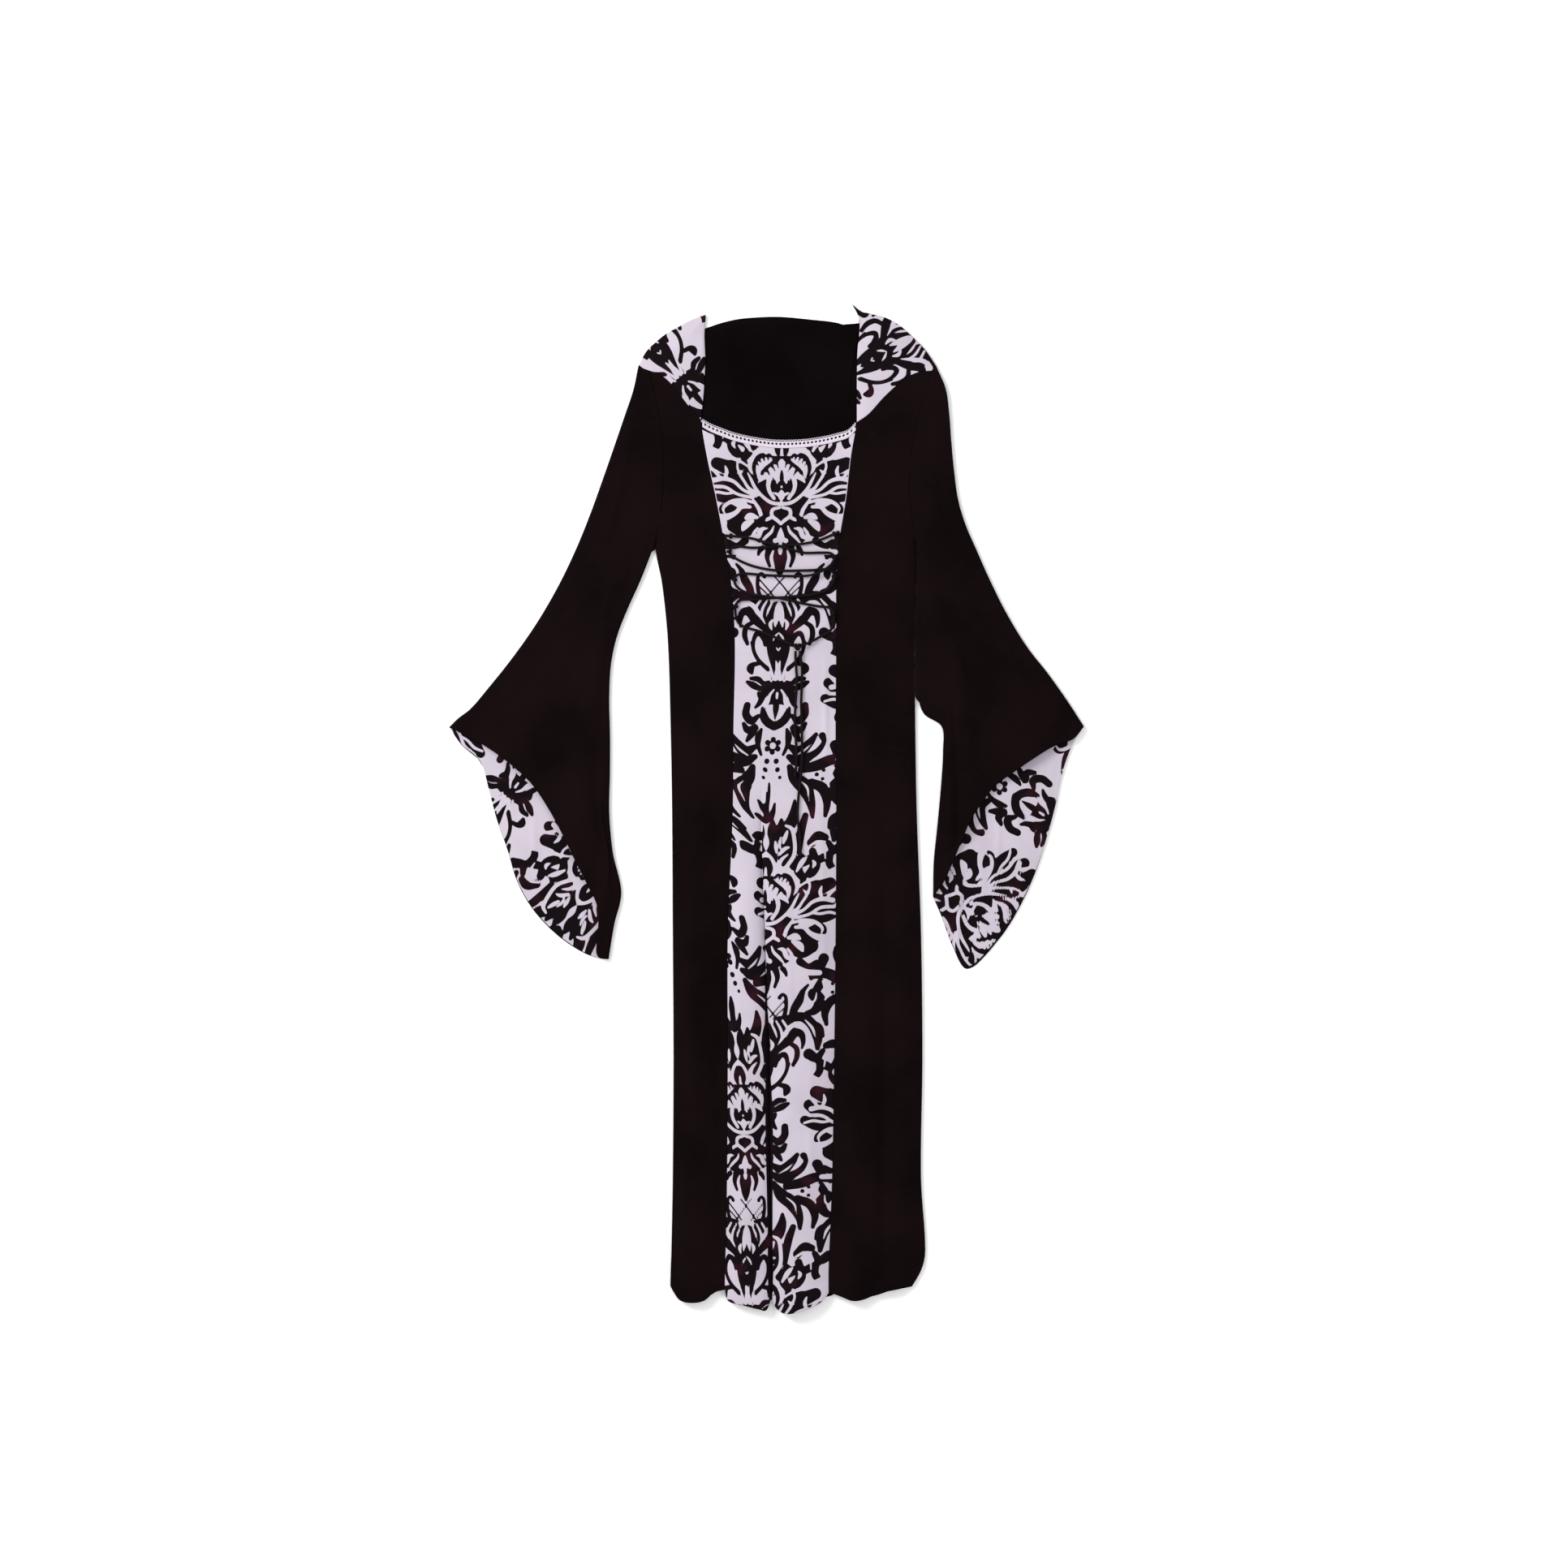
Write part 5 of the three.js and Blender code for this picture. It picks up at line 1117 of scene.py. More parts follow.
@dataclass(frozen=True)
class Sleeve:
    """A bell sleeve: a flat tube with a fold down each side, and the lining that its cuff shows."""

    name: str
    rings: tuple
    cuff: tuple
    shoulder: tuple
    line: Line
    outward: int
    lie: tuple
    around: int = 110
    ring_steps: int = 14
    wall: float = 1.4
    least_wall: float = 0.4
    seam_roll: float = 0.8
    rise: float = 3.0
    reach: float = 18.0
    blend_rings: float = 3.0
    step: int = 4
    fold_points: int = 79
    seam_gap: float = 0.1
    close: float = 6.0
    close_step: float = 2.0
    fade: float = 8.0
    width: float = 300.0
    lining_start: float = 10.0
    lining_past: float = 0.005
    lining_inset: float = 0.12
    lining_columns: int = 248
    lining_rows: int = 92
    lining_width: float = 420.0
    lining_length: float = 160.0
    lining_roll: float = 1.2
    lining_foot: float = 0.2

    def armhole(self) -> Array:
        """Points round the armhole: from the shoulder fold past the yoke and down the side edge."""
        bodice = mix(NECK_TOP, ARMPIT, np.array(ARMHOLE_LEVELS))
        corners = np.vstack([self.shoulder, self.line.at(bodice)])
        parts = [k + np.arange(1, count + 1) / count for k, count in enumerate(ARMHOLE_COLUMNS)]
        places = np.concatenate([[0], *parts])
        points = np.stack([np.interp(places, np.arange(len(corners)), part) for part in corners.T], -1)
        return points + [self.outward * self.seam_gap, -self.seam_gap]

    def layers(self, columns: Array, rings: Array) -> tuple[Array, Array]:
        """The flat shapes of the upper and the lower layer, which share the two folds.

        Args:
            columns: Places round each layer, from 0 at the outer fold to 11 at the inner one.
            rings: Places down the sleeve, from 0 at the armhole to 13 at the cuff.

        Returns:
            Two grids of points.
        """
        hole = self.armhole()
        table, cuff = np.array(self.rings, float), np.array(self.cuff, float)
        edges = []
        for part, first in ((table[:, :2], hole[0]), (table[:, 2:], hole[-1])):
            part = part.copy()
            part[0] = first
            edges.append(by_index(part, rings))
        beside = edges[1]
        gap = (beside[:, 0] - self.line.x(beside[:, 1])) * self.outward
        pull = smooth((self.close - gap) / self.close_step) * smooth((ARMPIT - beside[:, 1]) / self.fade)
        beside[:, 0] -= self.outward * (gap - 2 * self.seam_gap) * pull
        top = np.stack([np.interp(columns, np.arange(LAST_COLUMN + 1), part) for part in hole.T], -1)
        on_side = top[:, 1] < NECK_TOP - self.fade
        top[on_side, 0] = self.line.x(top[on_side, 1]) - self.outward * self.seam_gap
        return tuple(patch(top, by_index(cuff[:, k: k + 2], columns), *edges) for k in (0, 2))

    def fold_lines(self) -> list[Array]:
        """The two folds as paths."""
        upper, _ = self.layers(np.array([0.0, LAST_COLUMN]), np.linspace(0, LAST_RING, self.fold_points))
        return [upper[:, 0], upper[:, 1]]

    def upper_height(self, flat: Array, across: Array, down: Array) -> Array:
        """Height of the upper layer.

        It is level with the front at the armhole. Below, it rises with 1 minus e to the minus
        distance from its folds, and carries the flutes that grow towards the cuff. A quarter circle
        rolls it down to each fold.

        Args:
            flat: Its flat shape.
            across: Shares of the way across it, from the outer fold.
            down: Shares of the way down it, from the armhole.

        Returns:
            The heights.
        """
        x, y = flat[..., 0], flat[..., 1]
        distance = distance_to(self.fold_lines(), x, y)
        crown = SLEEVE_EDGE + self.rise * (1 - np.exp(-distance / self.reach))
        for place, half_width, start, height in SLEEVE_FOLDS:
            offset = np.clip(np.abs(across - place) / half_width, 0, 1)
            crown = crown + height * smooth((down - start) / (1 - start)) * (1 - offset**2) ** 2
        joined_height = np.maximum(SLEEVE_EDGE, FRONT.height(x, y))
        height = mix(joined_height, crown, smooth(down * LAST_RING / self.blend_rings))
        height = height + creases(SLEEVE_CREASES, x, y)
        hole = distance_to([self.armhole()], x, y)
        return height - rolled(distance, SLEEVE_EDGE / 2) - rolled(hole, self.seam_roll)

    def tube(self) -> Array:
        """The rings of the tube's outer face."""
        columns = LAST_COLUMN * spaced(self.width, self.around)
        rings = np.linspace(0, LAST_RING, LAST_RING * self.ring_steps - 1)
        upper, lower = self.layers(columns, rings)
        across, down = columns[None] / LAST_COLUMN, rings[:, None] / LAST_RING
        top = self.upper_height(upper, across, down)
        low = rolled(distance_to(self.fold_lines(), lower[..., 0], lower[..., 1]), SLEEVE_EDGE / 2)
        low[:, [0, -1]] = SLEEVE_EDGE / 2
        top[:, [0, -1]] = SLEEVE_EDGE / 2
        above = np.concatenate([upper, top[..., None]], -1)
        below = np.concatenate([lower, low[..., None]], -1)[:, -2:0:-1]
        return np.concatenate([above, below], 1)

    def build(self, finish: "Finish") -> None:
        """Makes the sleeve a closed tube wall.

        Args:
            finish: The cloth.
        """
        outer = self.tube()
        outward = normals(outer, True)
        outward = outward * np.sign(outward[:, self.around // 2, 2].mean())
        inner = outer - self.wall * outward
        top, low = slice(1, self.around), slice(self.around + 1, None)
        inner[:, top, 2] = np.minimum(inner[:, top, 2], outer[:, top, 2] - self.least_wall)
        inner[:, low, 2] = np.maximum(inner[:, low, 2], outer[:, low, 2] + self.least_wall)
        points, faces = tube_shell(outer, inner, self.step)
        made = piece(f"sleeve_{self.name}_cloth", points, faces, finish, points[:, :2])
        lay_down(made, f"sleeve_{self.name}")

    def build_lining(self, finish: "Finish", damask: "Damask") -> None:
        """Makes the lining a closed shell on the lower layer, from inside the cuff to its edge.

        Args:
            finish: The cloth.
            damask: The print that it carries.
        """
        span = (self.lining_inset, LAST_COLUMN - self.lining_inset)
        columns = mix(*span, spaced(self.lining_width, self.lining_columns))
        ends = (self.lining_start, LAST_RING + self.lining_past)
        _, flat = self.layers(columns, mix(*ends, spaced(self.lining_length, self.lining_rows)))
        relief = creases(LINING_CREASES, flat[..., 0], flat[..., 1])
        z = WALL + GAP + LINING_WALL + relief - rolled(border_distance(flat), self.lining_roll)
        outer = np.concatenate([flat, z[..., None]], -1)
        inner = np.concatenate([flat, np.full_like(z, WALL + self.lining_foot)[..., None]], -1)
        points, faces = shell(outer, inner, self.step)
        both = (both_faces(part, self.step) for part in (flat, damask.laid(flat, *self.lie)))
        made = piece(f"sleeve_lining_{self.name}_cloth", points, faces, finish, *both)
        lay_down(made, f"sleeve_lining_{self.name}")


@dataclass(frozen=True)
class NeckBraid:
    """The picot braid along the front neckline."""

    picots: int = 62
    picot_height: float = 2.0
    depth: float = 9.5
    thickness: float = 1.0
    thread: float = 0.45
    rows: int = 12
    band_steps: int = 8
    picot_steps: int = 12
    picot_sides: int = 6
    picot_power: float = 0.6
    picot_lift: float = 0.2
    cords: int = 3
    cord_height: float = 0.25
    edge_roll: float = 0.7
    step: int = 2
    end: float = 0.01
    clear: float = 0.05

    def edge(self, shares: Array) -> Array:
        """Points along the neckline."""
        neckline = np.array(NECKLINE_LEFT + NECKLINE_RIGHT[1:], float)
        return path_at(neckline, mix(self.end, 1 - self.end, shares))

    def seat(self, x: Array, y: Array) -> Array:
        """Height of the cloth that the braid lies on."""
        return np.maximum(FRONT.height(x, y), FRONT_EDGE) + self.clear

    def build(self, finish: "Finish") -> None:
        """Makes the band and the row of thread loops along its top as one piece.

        Args:
            finish: The thread.
        """
        edge = self.edge(np.linspace(0, 1, self.picots * self.band_steps + 1))
        down = np.linspace(0, 1, self.rows + 1)
        flat = np.repeat(edge[None], self.rows + 1, 0)
        flat[..., 1] -= down[:, None] * self.depth
        x, y = flat[..., 0], flat[..., 1]
        cord_rows = self.cord_height * np.cos(2 * math.pi * down * self.cords)[:, None]
        z = self.seat(x, y) + self.thickness + cord_rows - rolled(border_distance(flat), self.edge_roll)
        outer = np.concatenate([flat, z[..., None]], -1)
        inner = np.concatenate([flat, self.seat(x, y)[..., None]], -1)
        points, faces = shell(outer, inner, self.step)
        band = (points, faces, np.zeros((len(points), 2)))
        shares = np.linspace(0, 1, self.picots * self.picot_steps + 1)
        loops = self.edge(shares)
        arch = np.abs(np.sin(math.pi * shares * self.picots)) ** self.picot_power
        loops[:, 1] += self.picot_height * arch
        lift = self.seat(loops[:, 0], loops[:, 1]) + self.thread + self.picot_lift
        radius = np.full(len(loops), self.thread)
        picots = sweep(np.column_stack([loops, lift]), radius, self.picot_sides)
        points, faces, _ = joined([band, picots])
        cloth = np.zeros((len(points), 2))
        cloth[:, 0] = points[:, 0]
        cloth[:, 1] = points[:, 1] - np.interp(points[:, 0], edge[:, 0], edge[:, 1])
        made = piece("neck_trim_braid", points, faces, finish, cloth)
        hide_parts("neck_trim")
        LOG.info("%s: %d points", made.name, len(points))


@dataclass(frozen=True)
class Stitching:
    """A row of short stitches that lie on the front, beside a seam or above a hem."""

    length: float = 2.3
    pitch: float = 3.4
    radius: float = 0.24
    sides: int = 6
    lift: float = 0.1
    sink: float = 0.3
    rings: tuple = (0.25, 0.75)
    top: float = 515.0
    foot: float = -668.0
    beside_seam: float = 2.2
    below_yoke: float = 2.4
    above_hem: float = 13.5
    seam_points: int = 400
    edge_points: int = 60

    def build(self, name: str, path: Array, finish: "Finish") -> None:
        """Lays stitches at an even pitch along a path as one piece.

        Each is a spindle of two rings and two tips, turned to the path where it lies. Its middle
        stands a little above the cloth, and its tips sink into it.

        Args:
            name: The row's name.
            path: Where the row runs, as x and y.
            finish: The thread.
        """
        total = lengths_along(path)[-1]
        middles = np.arange(self.pitch, total - self.pitch, self.pitch)
        half = self.length / 2
        start, end = along(path, middles - half), along(path, middles + half)
        turn = 2 * math.pi * np.arange(self.sides) / self.sides
        run = (end - start) / np.linalg.norm(end - start, axis=1, keepdims=True)
        side = np.stack([-run[:, 1], run[:, 0]], -1)
        seat = FRONT.height(*((start + end) / 2).T) + self.lift
        rings = []
        for share in self.rings:
            beside = (self.radius * np.cos(turn))[None, :, None] * side[:, None]
            flat = mix(start, end, share)[:, None] + beside
            height = seat[:, None] + self.radius * np.sin(turn)[None]
            rings.append(np.concatenate([flat, height[..., None]], -1))
        tips = [np.column_stack([place, seat - self.sink])[:, None] for place in (start, end)]
        points = np.concatenate([*rings, *tips], 1)
        one = np.arange(self.sides)
        after = (one + 1) % self.sides
        body = np.stack([one, after, after + self.sides, one + self.sides], -1)
        tip = np.full(self.sides, 2 * self.sides)
        caps = np.vstack([np.stack([after, one, tip], -1),
                          np.stack([one + self.sides, after + self.sides, tip + 1], -1)])
        base = (np.arange(len(middles)) * points.shape[1])[:, None, None]
        faces = [(body[None] + base).reshape(-1, 4), (caps[None] + base).reshape(-1, 3)]
        points = points.reshape(-1, 3)
        piece(f"{name}_stitches", points, faces, finish, points[:, :2])

    def rows(self, finish: "Finish") -> None:
        """Sews beside both long seams, along both shoulder seams, and over the hem.

        Args:
            finish: The thread.
        """
        down = np.linspace(self.top, self.foot, self.seam_points)
        self.build("seam_left", SEAM_LEFT.at(down) - [self.beside_seam, 0], finish)
        self.build("seam_right", SEAM_RIGHT.at(down) + [self.beside_seam, 0], finish)
        for name, table, end, shift in (
            ("yoke_left", YOKE_LEFT_SEAM, 0.02, -self.below_yoke),
            ("yoke_right", YOKE_RIGHT_SEAM, 0.02, -self.below_yoke),
            ("hem_left", HEM_SIDE_LEFT, 0.05, self.above_hem),
            ("hem_right", HEM_SIDE_RIGHT, 0.05, self.above_hem),
        ):
            shares = np.linspace(end, 1 - end, self.edge_points)
            self.build(name, path_at(np.array(table, float), shares) + [0, shift], finish)


@dataclass(frozen=True)
class Lacing:
    """The waist lace: two halves through cord loops, the knot, and two free ends."""

    radius: float = LACE_RADIUS
    strands: int = 3
    pitch: float = 9.0
    groove: float = 0.12
    spacing: float = 0.9
    sides: int = 15
    tip: float = 9.0
    tip_swell: float = 0.12
    tip_ridge: float = 0.1
    tip_pitch: float = 1.1
    tip_round: float = 1.2
    tip_least: float = 0.03
    loop_radius: float = 0.95
    loop_reach: float = 3.2
    loop_clear: float = 5.2
    loop_points: int = 25
    loop_sides: int = 10
    loop_pitch: float = 4.0
    loop_groove: float = 0.1
    knot_place: tuple = (44.0, 229.0)
    knot_reach: float = 6.4 / 3
    knot_wind: float = 1.7
    knot_flat: float = 0.72
    knot_lift: float = 1.9
    knot_points: int = 181
    knot_sides: int = 14

    def route(self, table: tuple) -> Array:
        """A route's centreline on the cloth, at even spacing.

        The plan is the smooth line through the table. The height is the cloth's, plus the cord's
        radius, plus a lift that steps softly from row to row.

        Args:
            table: The route's x, y and lift.

        Returns:
            The points of the centreline.
        """
        rows = np.array(table, float)
        plan = curve_through(rows[:, :2], SAMPLES)
        place = np.arange(len(plan)) / SAMPLES
        before = np.minimum(place.astype(int), len(rows) - 2)
        lift = mix(rows[before, 2], rows[before + 1, 2], smooth(place - before))
        z = FRONT.height(plan[:, 0], plan[:, 1]) + LACE_GAP + self.radius + lift
        path = np.column_stack([plan, z])
        total = lengths_along(path)[-1]
        return along(path, np.linspace(0, total, max(8, round(total / self.spacing)) + 1))

    def cord(self, name: str, path: Array, finish: "Finish", whipped: bool) -> bpy.types.Object:
        """A twisted cord along a path, with a bound tip where its end is free.

        Args:
            name: The node that it replaces.
            path: Its centreline.
            finish: The thread.
            whipped: Whether its last end is free.

        Returns:
            The new piece.
        """
        length = lengths_along(path)
        left = length[-1] - length
        radius = np.full(len(path), self.radius)
        if whipped:
            ridge = self.tip_swell + self.tip_ridge * np.cos(2 * math.pi * left / self.tip_pitch)
            rounded = np.sqrt(np.clip(left / self.tip_round, self.tip_least, 1))
            radius = radius * (1 + smooth(self.tip - left) * ridge) * rounded
        points, faces, wound = sweep(path, radius, self.sides, self.strands, self.pitch, self.groove)
        made = piece(f"{name}_cord", points, faces, finish, wound * [1.0, self.radius])
        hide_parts(name)
        return made

    def free_ends(self, finish: "Finish") -> None:
        """Makes the two ends that hang down the skirt from the knot.

        Args:
            finish: The thread.
        """
        for name, table, length in (("lace_end_a", LACE_END_A, 0.18), ("lace_end_b", LACE_END_B, 0.293)):
            path = self.route(table)
            end = self.cord(name, path, finish, True)
            LOG.info("%s: %.1f mm long", name, lengths_along(path)[-1])

    def halves(self, finish: "Finish") -> None:
        """Makes the two halves that cross the waist through the loops."""
        for name, table in (("lace_a", LACE_A), ("lace_b", LACE_B)):
            self.cord(name, self.route(table), finish, False)

    def loops(self, finish: "Finish") -> None:
        """Makes each loop: two arches of thin cord over the lace, square to it, with feet in the cloth.

        Args:
            finish: The thread.
        """
        turn = np.linspace(0, math.pi, self.loop_points)
        radius = np.full(self.loop_points, self.loop_radius)
        for name, table, at in ((f"loop_{side}_{number}", *row) for side, rows in LOOPS.items()
                                for number, row in enumerate(rows, 1)):
            plan = curve_through(np.array(table, float)[:, :2], SAMPLES)
            place = int(round(at * SAMPLES))
            run = plan[min(place + 1, len(plan) - 1)] - plan[max(place - 1, 0)]
            run /= np.hypot(*run)
            side = np.array([-run[1], run[0]])
            parts = []
            for center in (plan[place] - run, plan[place] + run):
                flat = center + self.loop_reach * np.cos(turn)[:, None] * side
                base = FRONT.height(flat[:, 0], flat[:, 1])
                path = np.column_stack([flat, base + self.loop_clear * np.sin(turn)])
                parts.append(sweep(path, radius, self.loop_sides, 2, self.loop_pitch, self.loop_groove))
            points, faces, wound = joined(parts)
            thing = piece(f"{name}_cord", points, faces, finish, wound * [1.0, self.loop_radius])
            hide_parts(name)

    def knot(self, finish: "Finish") -> None:
        """Makes the knot: the cord wound in a flat trefoil, x and y from two turns, z from three.

        Args:
            finish: The thread.
        """
        turn = np.linspace(0, 2 * math.pi, self.knot_points)
        center = np.array(self.knot_place)
        x = center[0] + self.knot_reach * (np.sin(turn) + self.knot_wind * np.sin(2 * turn))
        wound = np.cos(turn) - self.knot_wind * np.cos(2 * turn)
        y = center[1] + self.knot_flat * self.knot_reach * wound
        base = FRONT.height(*center[:, None]) + LACE_GAP + KNOT_HALF_HEIGHT
        path = np.column_stack([x, y, base - self.knot_lift * np.sin(3 * turn)])
        points, faces, wound = sweep(path, np.full(self.knot_points, self.radius), self.knot_sides,
                                     self.strands, self.pitch, self.groove)
        made = piece("lace_knot_cord", points, faces, finish, wound * [1.0, self.radius])
        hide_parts("lace_knot")


# The print

# How far each layer runs over its drawn edge
SPREAD = (1.5, -0.35, 0.5, -0.3)
# Steps in each stretch of a stroke, how far round it is looked at, and the value far from any
STROKE_SAMPLES = 10
STROKE_MARGIN = 4
NO_INK = -9.0


def inked(table: tuple, x: Array, y: Array, copies: tuple) -> Array:
    """How far inside the ink each place is.

    A stroke is a chain of round-ended wedges along a smooth line. The distance into it is the
    largest, over its wedges, of the half width less the distance to the line. Layers are then
    laid over each other: ink takes the larger value, and ground the smaller one of what is there
    and minus its own.

    Args:
        table: Rows of layer and points with half widths.
        x: Where it is wanted.
        y: Where it is wanted.
        copies: For each copy of a stroke, the factor of its x and the shifts of its x and y.

    Returns:
        Distances in millimetres, positive in ink.
    """
    layers = np.full((len(SPREAD),) + x.shape, NO_INK)
    low, high = np.array([x.min(), y.min()]), np.array([x.max(), y.max()])
    for layer, *points in table:
        line = curve_through(points, STROKE_SAMPLES)
        for factor, shift_x, shift_y in copies:
            path = line[:, :2] * [factor, 1] + [shift_x, shift_y]
            reach = line[:, 2].max() + STROKE_MARGIN
            start, end = path.min(0) - reach, path.max(0) + reach
            if (start > high).any() or (end < low).any():
                continue
            near = (x > start[0]) & (x < end[0]) & (y > start[1]) & (y < end[1])
            places = np.stack([x[near], y[near]], -1)[:, None]
            run = np.diff(path, axis=0)
            t = ((places - path[:-1]) * run).sum(-1) / np.maximum((run**2).sum(-1), 1e-9)
            t = np.clip(t, 0, 1)
            away = np.linalg.norm(places - path[:-1] - t[..., None] * run, axis=-1)
            inside = (mix(line[:-1, 2], line[1:, 2], t) - away).max(-1)
            layers[layer][near] = np.maximum(layers[layer][near], inside)
    layers += np.array(SPREAD)[:, None, None]
    ink = np.maximum(np.minimum(layers[0], -layers[1]), layers[2])
    return np.minimum(ink, -layers[3])


@dataclass
class Damask:
    """The printed pattern: columns of flowers and plumes, each a half drop lower than the next."""

    column: float = 172.0
    repeat: float = 587.0
    step: float = 0.75
    flower_level: float = 467.0
    bare_edge: float = 1.2
    bare_level: float = 452.0
    bare_reach: float = 52.0
    # How far left of the column's middle the dark strip down the crease lies: painted shade drawn as ink
    shade_strip_shift: float = 1.0
    tile: Array = field(init=False, repr=False)

    def __post_init__(self) -> None:
        """Draws half a column by one repeat."""
        across = np.arange(0.0, self.column + self.step, self.step)
        count = round(self.repeat / self.step)
        down = np.arange(count) * self.repeat / count
        copies = tuple((factor, shift * self.column, (lap + shift / 2) * self.repeat)
                       for factor in (1, -1) for shift in (0, 1) for lap in (-1, 0, 1))
        self.tile = inked(PRINT_STROKES, *np.meshgrid(across, down), copies)

    def at(self, u: Array, d: Array) -> Array:
        """The print's value, straight between the samples of its tile.

        Args:
            u: How far each place is from a column's middle.
            d: How far it is below the middle of that column's flower.

        Returns:
            Distances into the ink.
        """
        tall, wide = self.tile.shape
        across = np.abs((u + self.column) % (2 * self.column) - self.column) / self.step
        down = d % self.repeat / self.repeat * tall
        left = np.minimum(across.astype(int), wide - 2)
        row = down.astype(int) % tall
        upper, lower = (mix(self.tile[k, left], self.tile[k, left + 1], across - left)
                        for k in (row, (row + 1) % tall))
        return mix(upper, lower, down - np.floor(down))

    def front(self, flat: Array) -> Array:
        """The print on the centre front: part is hidden in the skirt's crease, its edge is bare, and a
        dark strip drawn as ink runs down the crease, partly print and partly painted shade.

        Args:
            flat: The panel's flat grid.

        Returns:
            Distances into the ink.
        """
        x, y = flat[..., 0], flat[..., 1]
        rows = np.array(PRINT_ROWS, float)
        middle, left, gather, right, slip, dark = (np.interp(y, rows[:, 0], part) for part in rows.T[1:])
        off = x - middle
        across = np.where(off < 0, off * gather - left, off + right)
        ink = self.at(across, self.flower_level - slip - y)
        # Painted shade: a dark strip drawn as ink down the crease, as wide as the last column of
        # PRINT_ROWS, partly print and partly the fold's shade
        ink = np.maximum(ink, dark - np.abs(off + self.shade_strip_shift))
        edge = np.minimum(x - x[:, :1], x[:, -1:] - x) - self.bare_edge
        return np.where(np.abs(y - self.bare_level) < self.bare_reach, np.minimum(ink, edge), ink)

    def laid(self, flat: Array, place: tuple, level: float, turn: float) -> Array:
        """The print on a piece cut across it, such as a yoke or a cuff's lining.

        Args:
            flat: Where it is wanted.
            place: A place on a column's middle.
            level: How far that place is below the column's flower.
            turn: How far the print is turned, in degrees anticlockwise.

        Returns:
            Distances into the ink.
        """
        cos, sin = math.cos(math.radians(turn)), math.sin(math.radians(turn))
        x, y = flat[..., 0] - place[0], flat[..., 1] - place[1]
        return self.at(x * cos + y * sin, level + x * sin - y * cos)


# Finishes


class Graph:
    """A material's nodes, put together one by one."""

    def __init__(self, name: str) -> None:
        """Starts an empty material with a Principled shader."""
        self.material = bpy.data.materials.new(name)
        self.material.use_nodes = True
        self.tree = self.material.node_tree
        self.shader = self.tree.nodes["Principled BSDF"]

    def add(self, kind: str, inputs: dict | None = None, **settings: object) -> bpy.types.Node:
        """Adds a node.

        Args:
            kind: The node's type, without its ShaderNode prefix.
            inputs: What goes into its sockets, by name or number: a socket to link, or a value.
            settings: The node's own options.

        Returns:
            The new node.
        """
        node = self.tree.nodes.new(f"ShaderNode{kind}")
        for key, value in settings.items():
            setattr(node, key, value)
        for key, value in (inputs or {}).items():
            self.feed(node.inputs[key], value)
        return node

    def feed(self, socket: bpy.types.NodeSocket, value: object) -> None:
        """Links a socket, or sets its value."""
        if isinstance(value, bpy.types.NodeSocket):
            self.tree.links.new(value, socket)
        else:
            socket.default_value = value

    def math(self, operation: str, *values: object) -> bpy.types.NodeSocket:
        """A Math node's result."""
        node = self.add("Math", dict(enumerate(values)), operation=operation)
        return node.outputs[0]

    def blend(self, factor: object, first: object, second: object) -> bpy.types.NodeSocket:
        """A colour between two.

        Args:
            factor: How far from the first to the second.
            first: A colour.
            second: A colour.

        Returns:
            The blended colour's socket.
        """
        node = self.add("Mix", data_type="RGBA")
        for key, value in ((0, factor), (6, first), (7, second)):
            self.feed(node.inputs[key], value)
        return node.outputs[2]

    def noise(self, vector: object, scale: float, detail: float = 2.0) -> bpy.types.NodeSocket:
        """A noise's value at a place."""
        node = self.add("TexNoise", {"Vector": vector, "Scale": scale, "Detail": detail})
        return node.outputs["Fac"]

    def ramp(self, value: object, low: float, high: float, start: float = 0.0,
             end: float = 1.0) -> bpy.types.NodeSocket:
        """A value carried from low and high to start and end, and held between them."""
        node = self.add("MapRange", {0: value, 1: low, 2: high, 3: start, 4: end})
        return node.outputs[0]

    def bump(self, height: object, distance: float, strength: float) -> bpy.types.NodeSocket:
        """A bumped normal."""
        return self.add("Bump", {"Height": height, "Distance": distance, "Strength": strength}).outputs[0]

    def weave(self, cloth: object, pitch: float) -> bpy.types.NodeSocket:
        """Height of a plain weave: warp and weft threads that pass over and under each other.

        It is the larger of two rounded thread profiles, each high where it passes over.
        """
        part = self.add("SeparateXYZ", {0: cloth})
        u, v = (self.math("MULTIPLY", part.outputs[k], math.pi / pitch) for k in (0, 1))
        warp, weft = (self.math("ABSOLUTE", self.math("SINE", k)) for k in (u, v))
        over = self.math("SINE", self.math("ADD", u, v))
        lifted = self.math("MULTIPLY", warp, self.math("ADD", 0.75, self.math("MULTIPLY", over, 0.25)))
        low = self.math("SUBTRACT", 0.75, self.math("MULTIPLY", over, 0.25))
        lowered = self.math("MULTIPLY", weft, low)
        return self.math("MAXIMUM", lifted, lowered)

    def finish(self, inputs: dict) -> bpy.types.Material:
        """Sets the shader's sockets and gives the material."""
        for key, value in inputs.items():
            self.feed(self.shader.inputs[key], value)
        return self.material


def linear(red: float, green: float, blue: float) -> tuple[float, float, float, float]:
    """A colour given in screen values from 0 to 255, as the shader wants it."""
    return tuple(((v / 255 + 0.055) / 1.055) ** 2.4 if v > 10 else v / 255 / 12.92
                 for v in (red, green, blue)) + (1.0,)


@dataclass(frozen=True)
class Finish:
    """What dresses a piece. Each kind builds its material once."""

    name: str
    fabric: Fabric | None = None

    def material(self) -> bpy.types.Material:
        """The material, built the first time that it is asked for."""
        return bpy.data.materials.get(self.name) or self.build(Graph(self.name))

    def build(self, graph: Graph) -> bpy.types.Material:
        """Puts the nodes together."""
        raise NotImplementedError


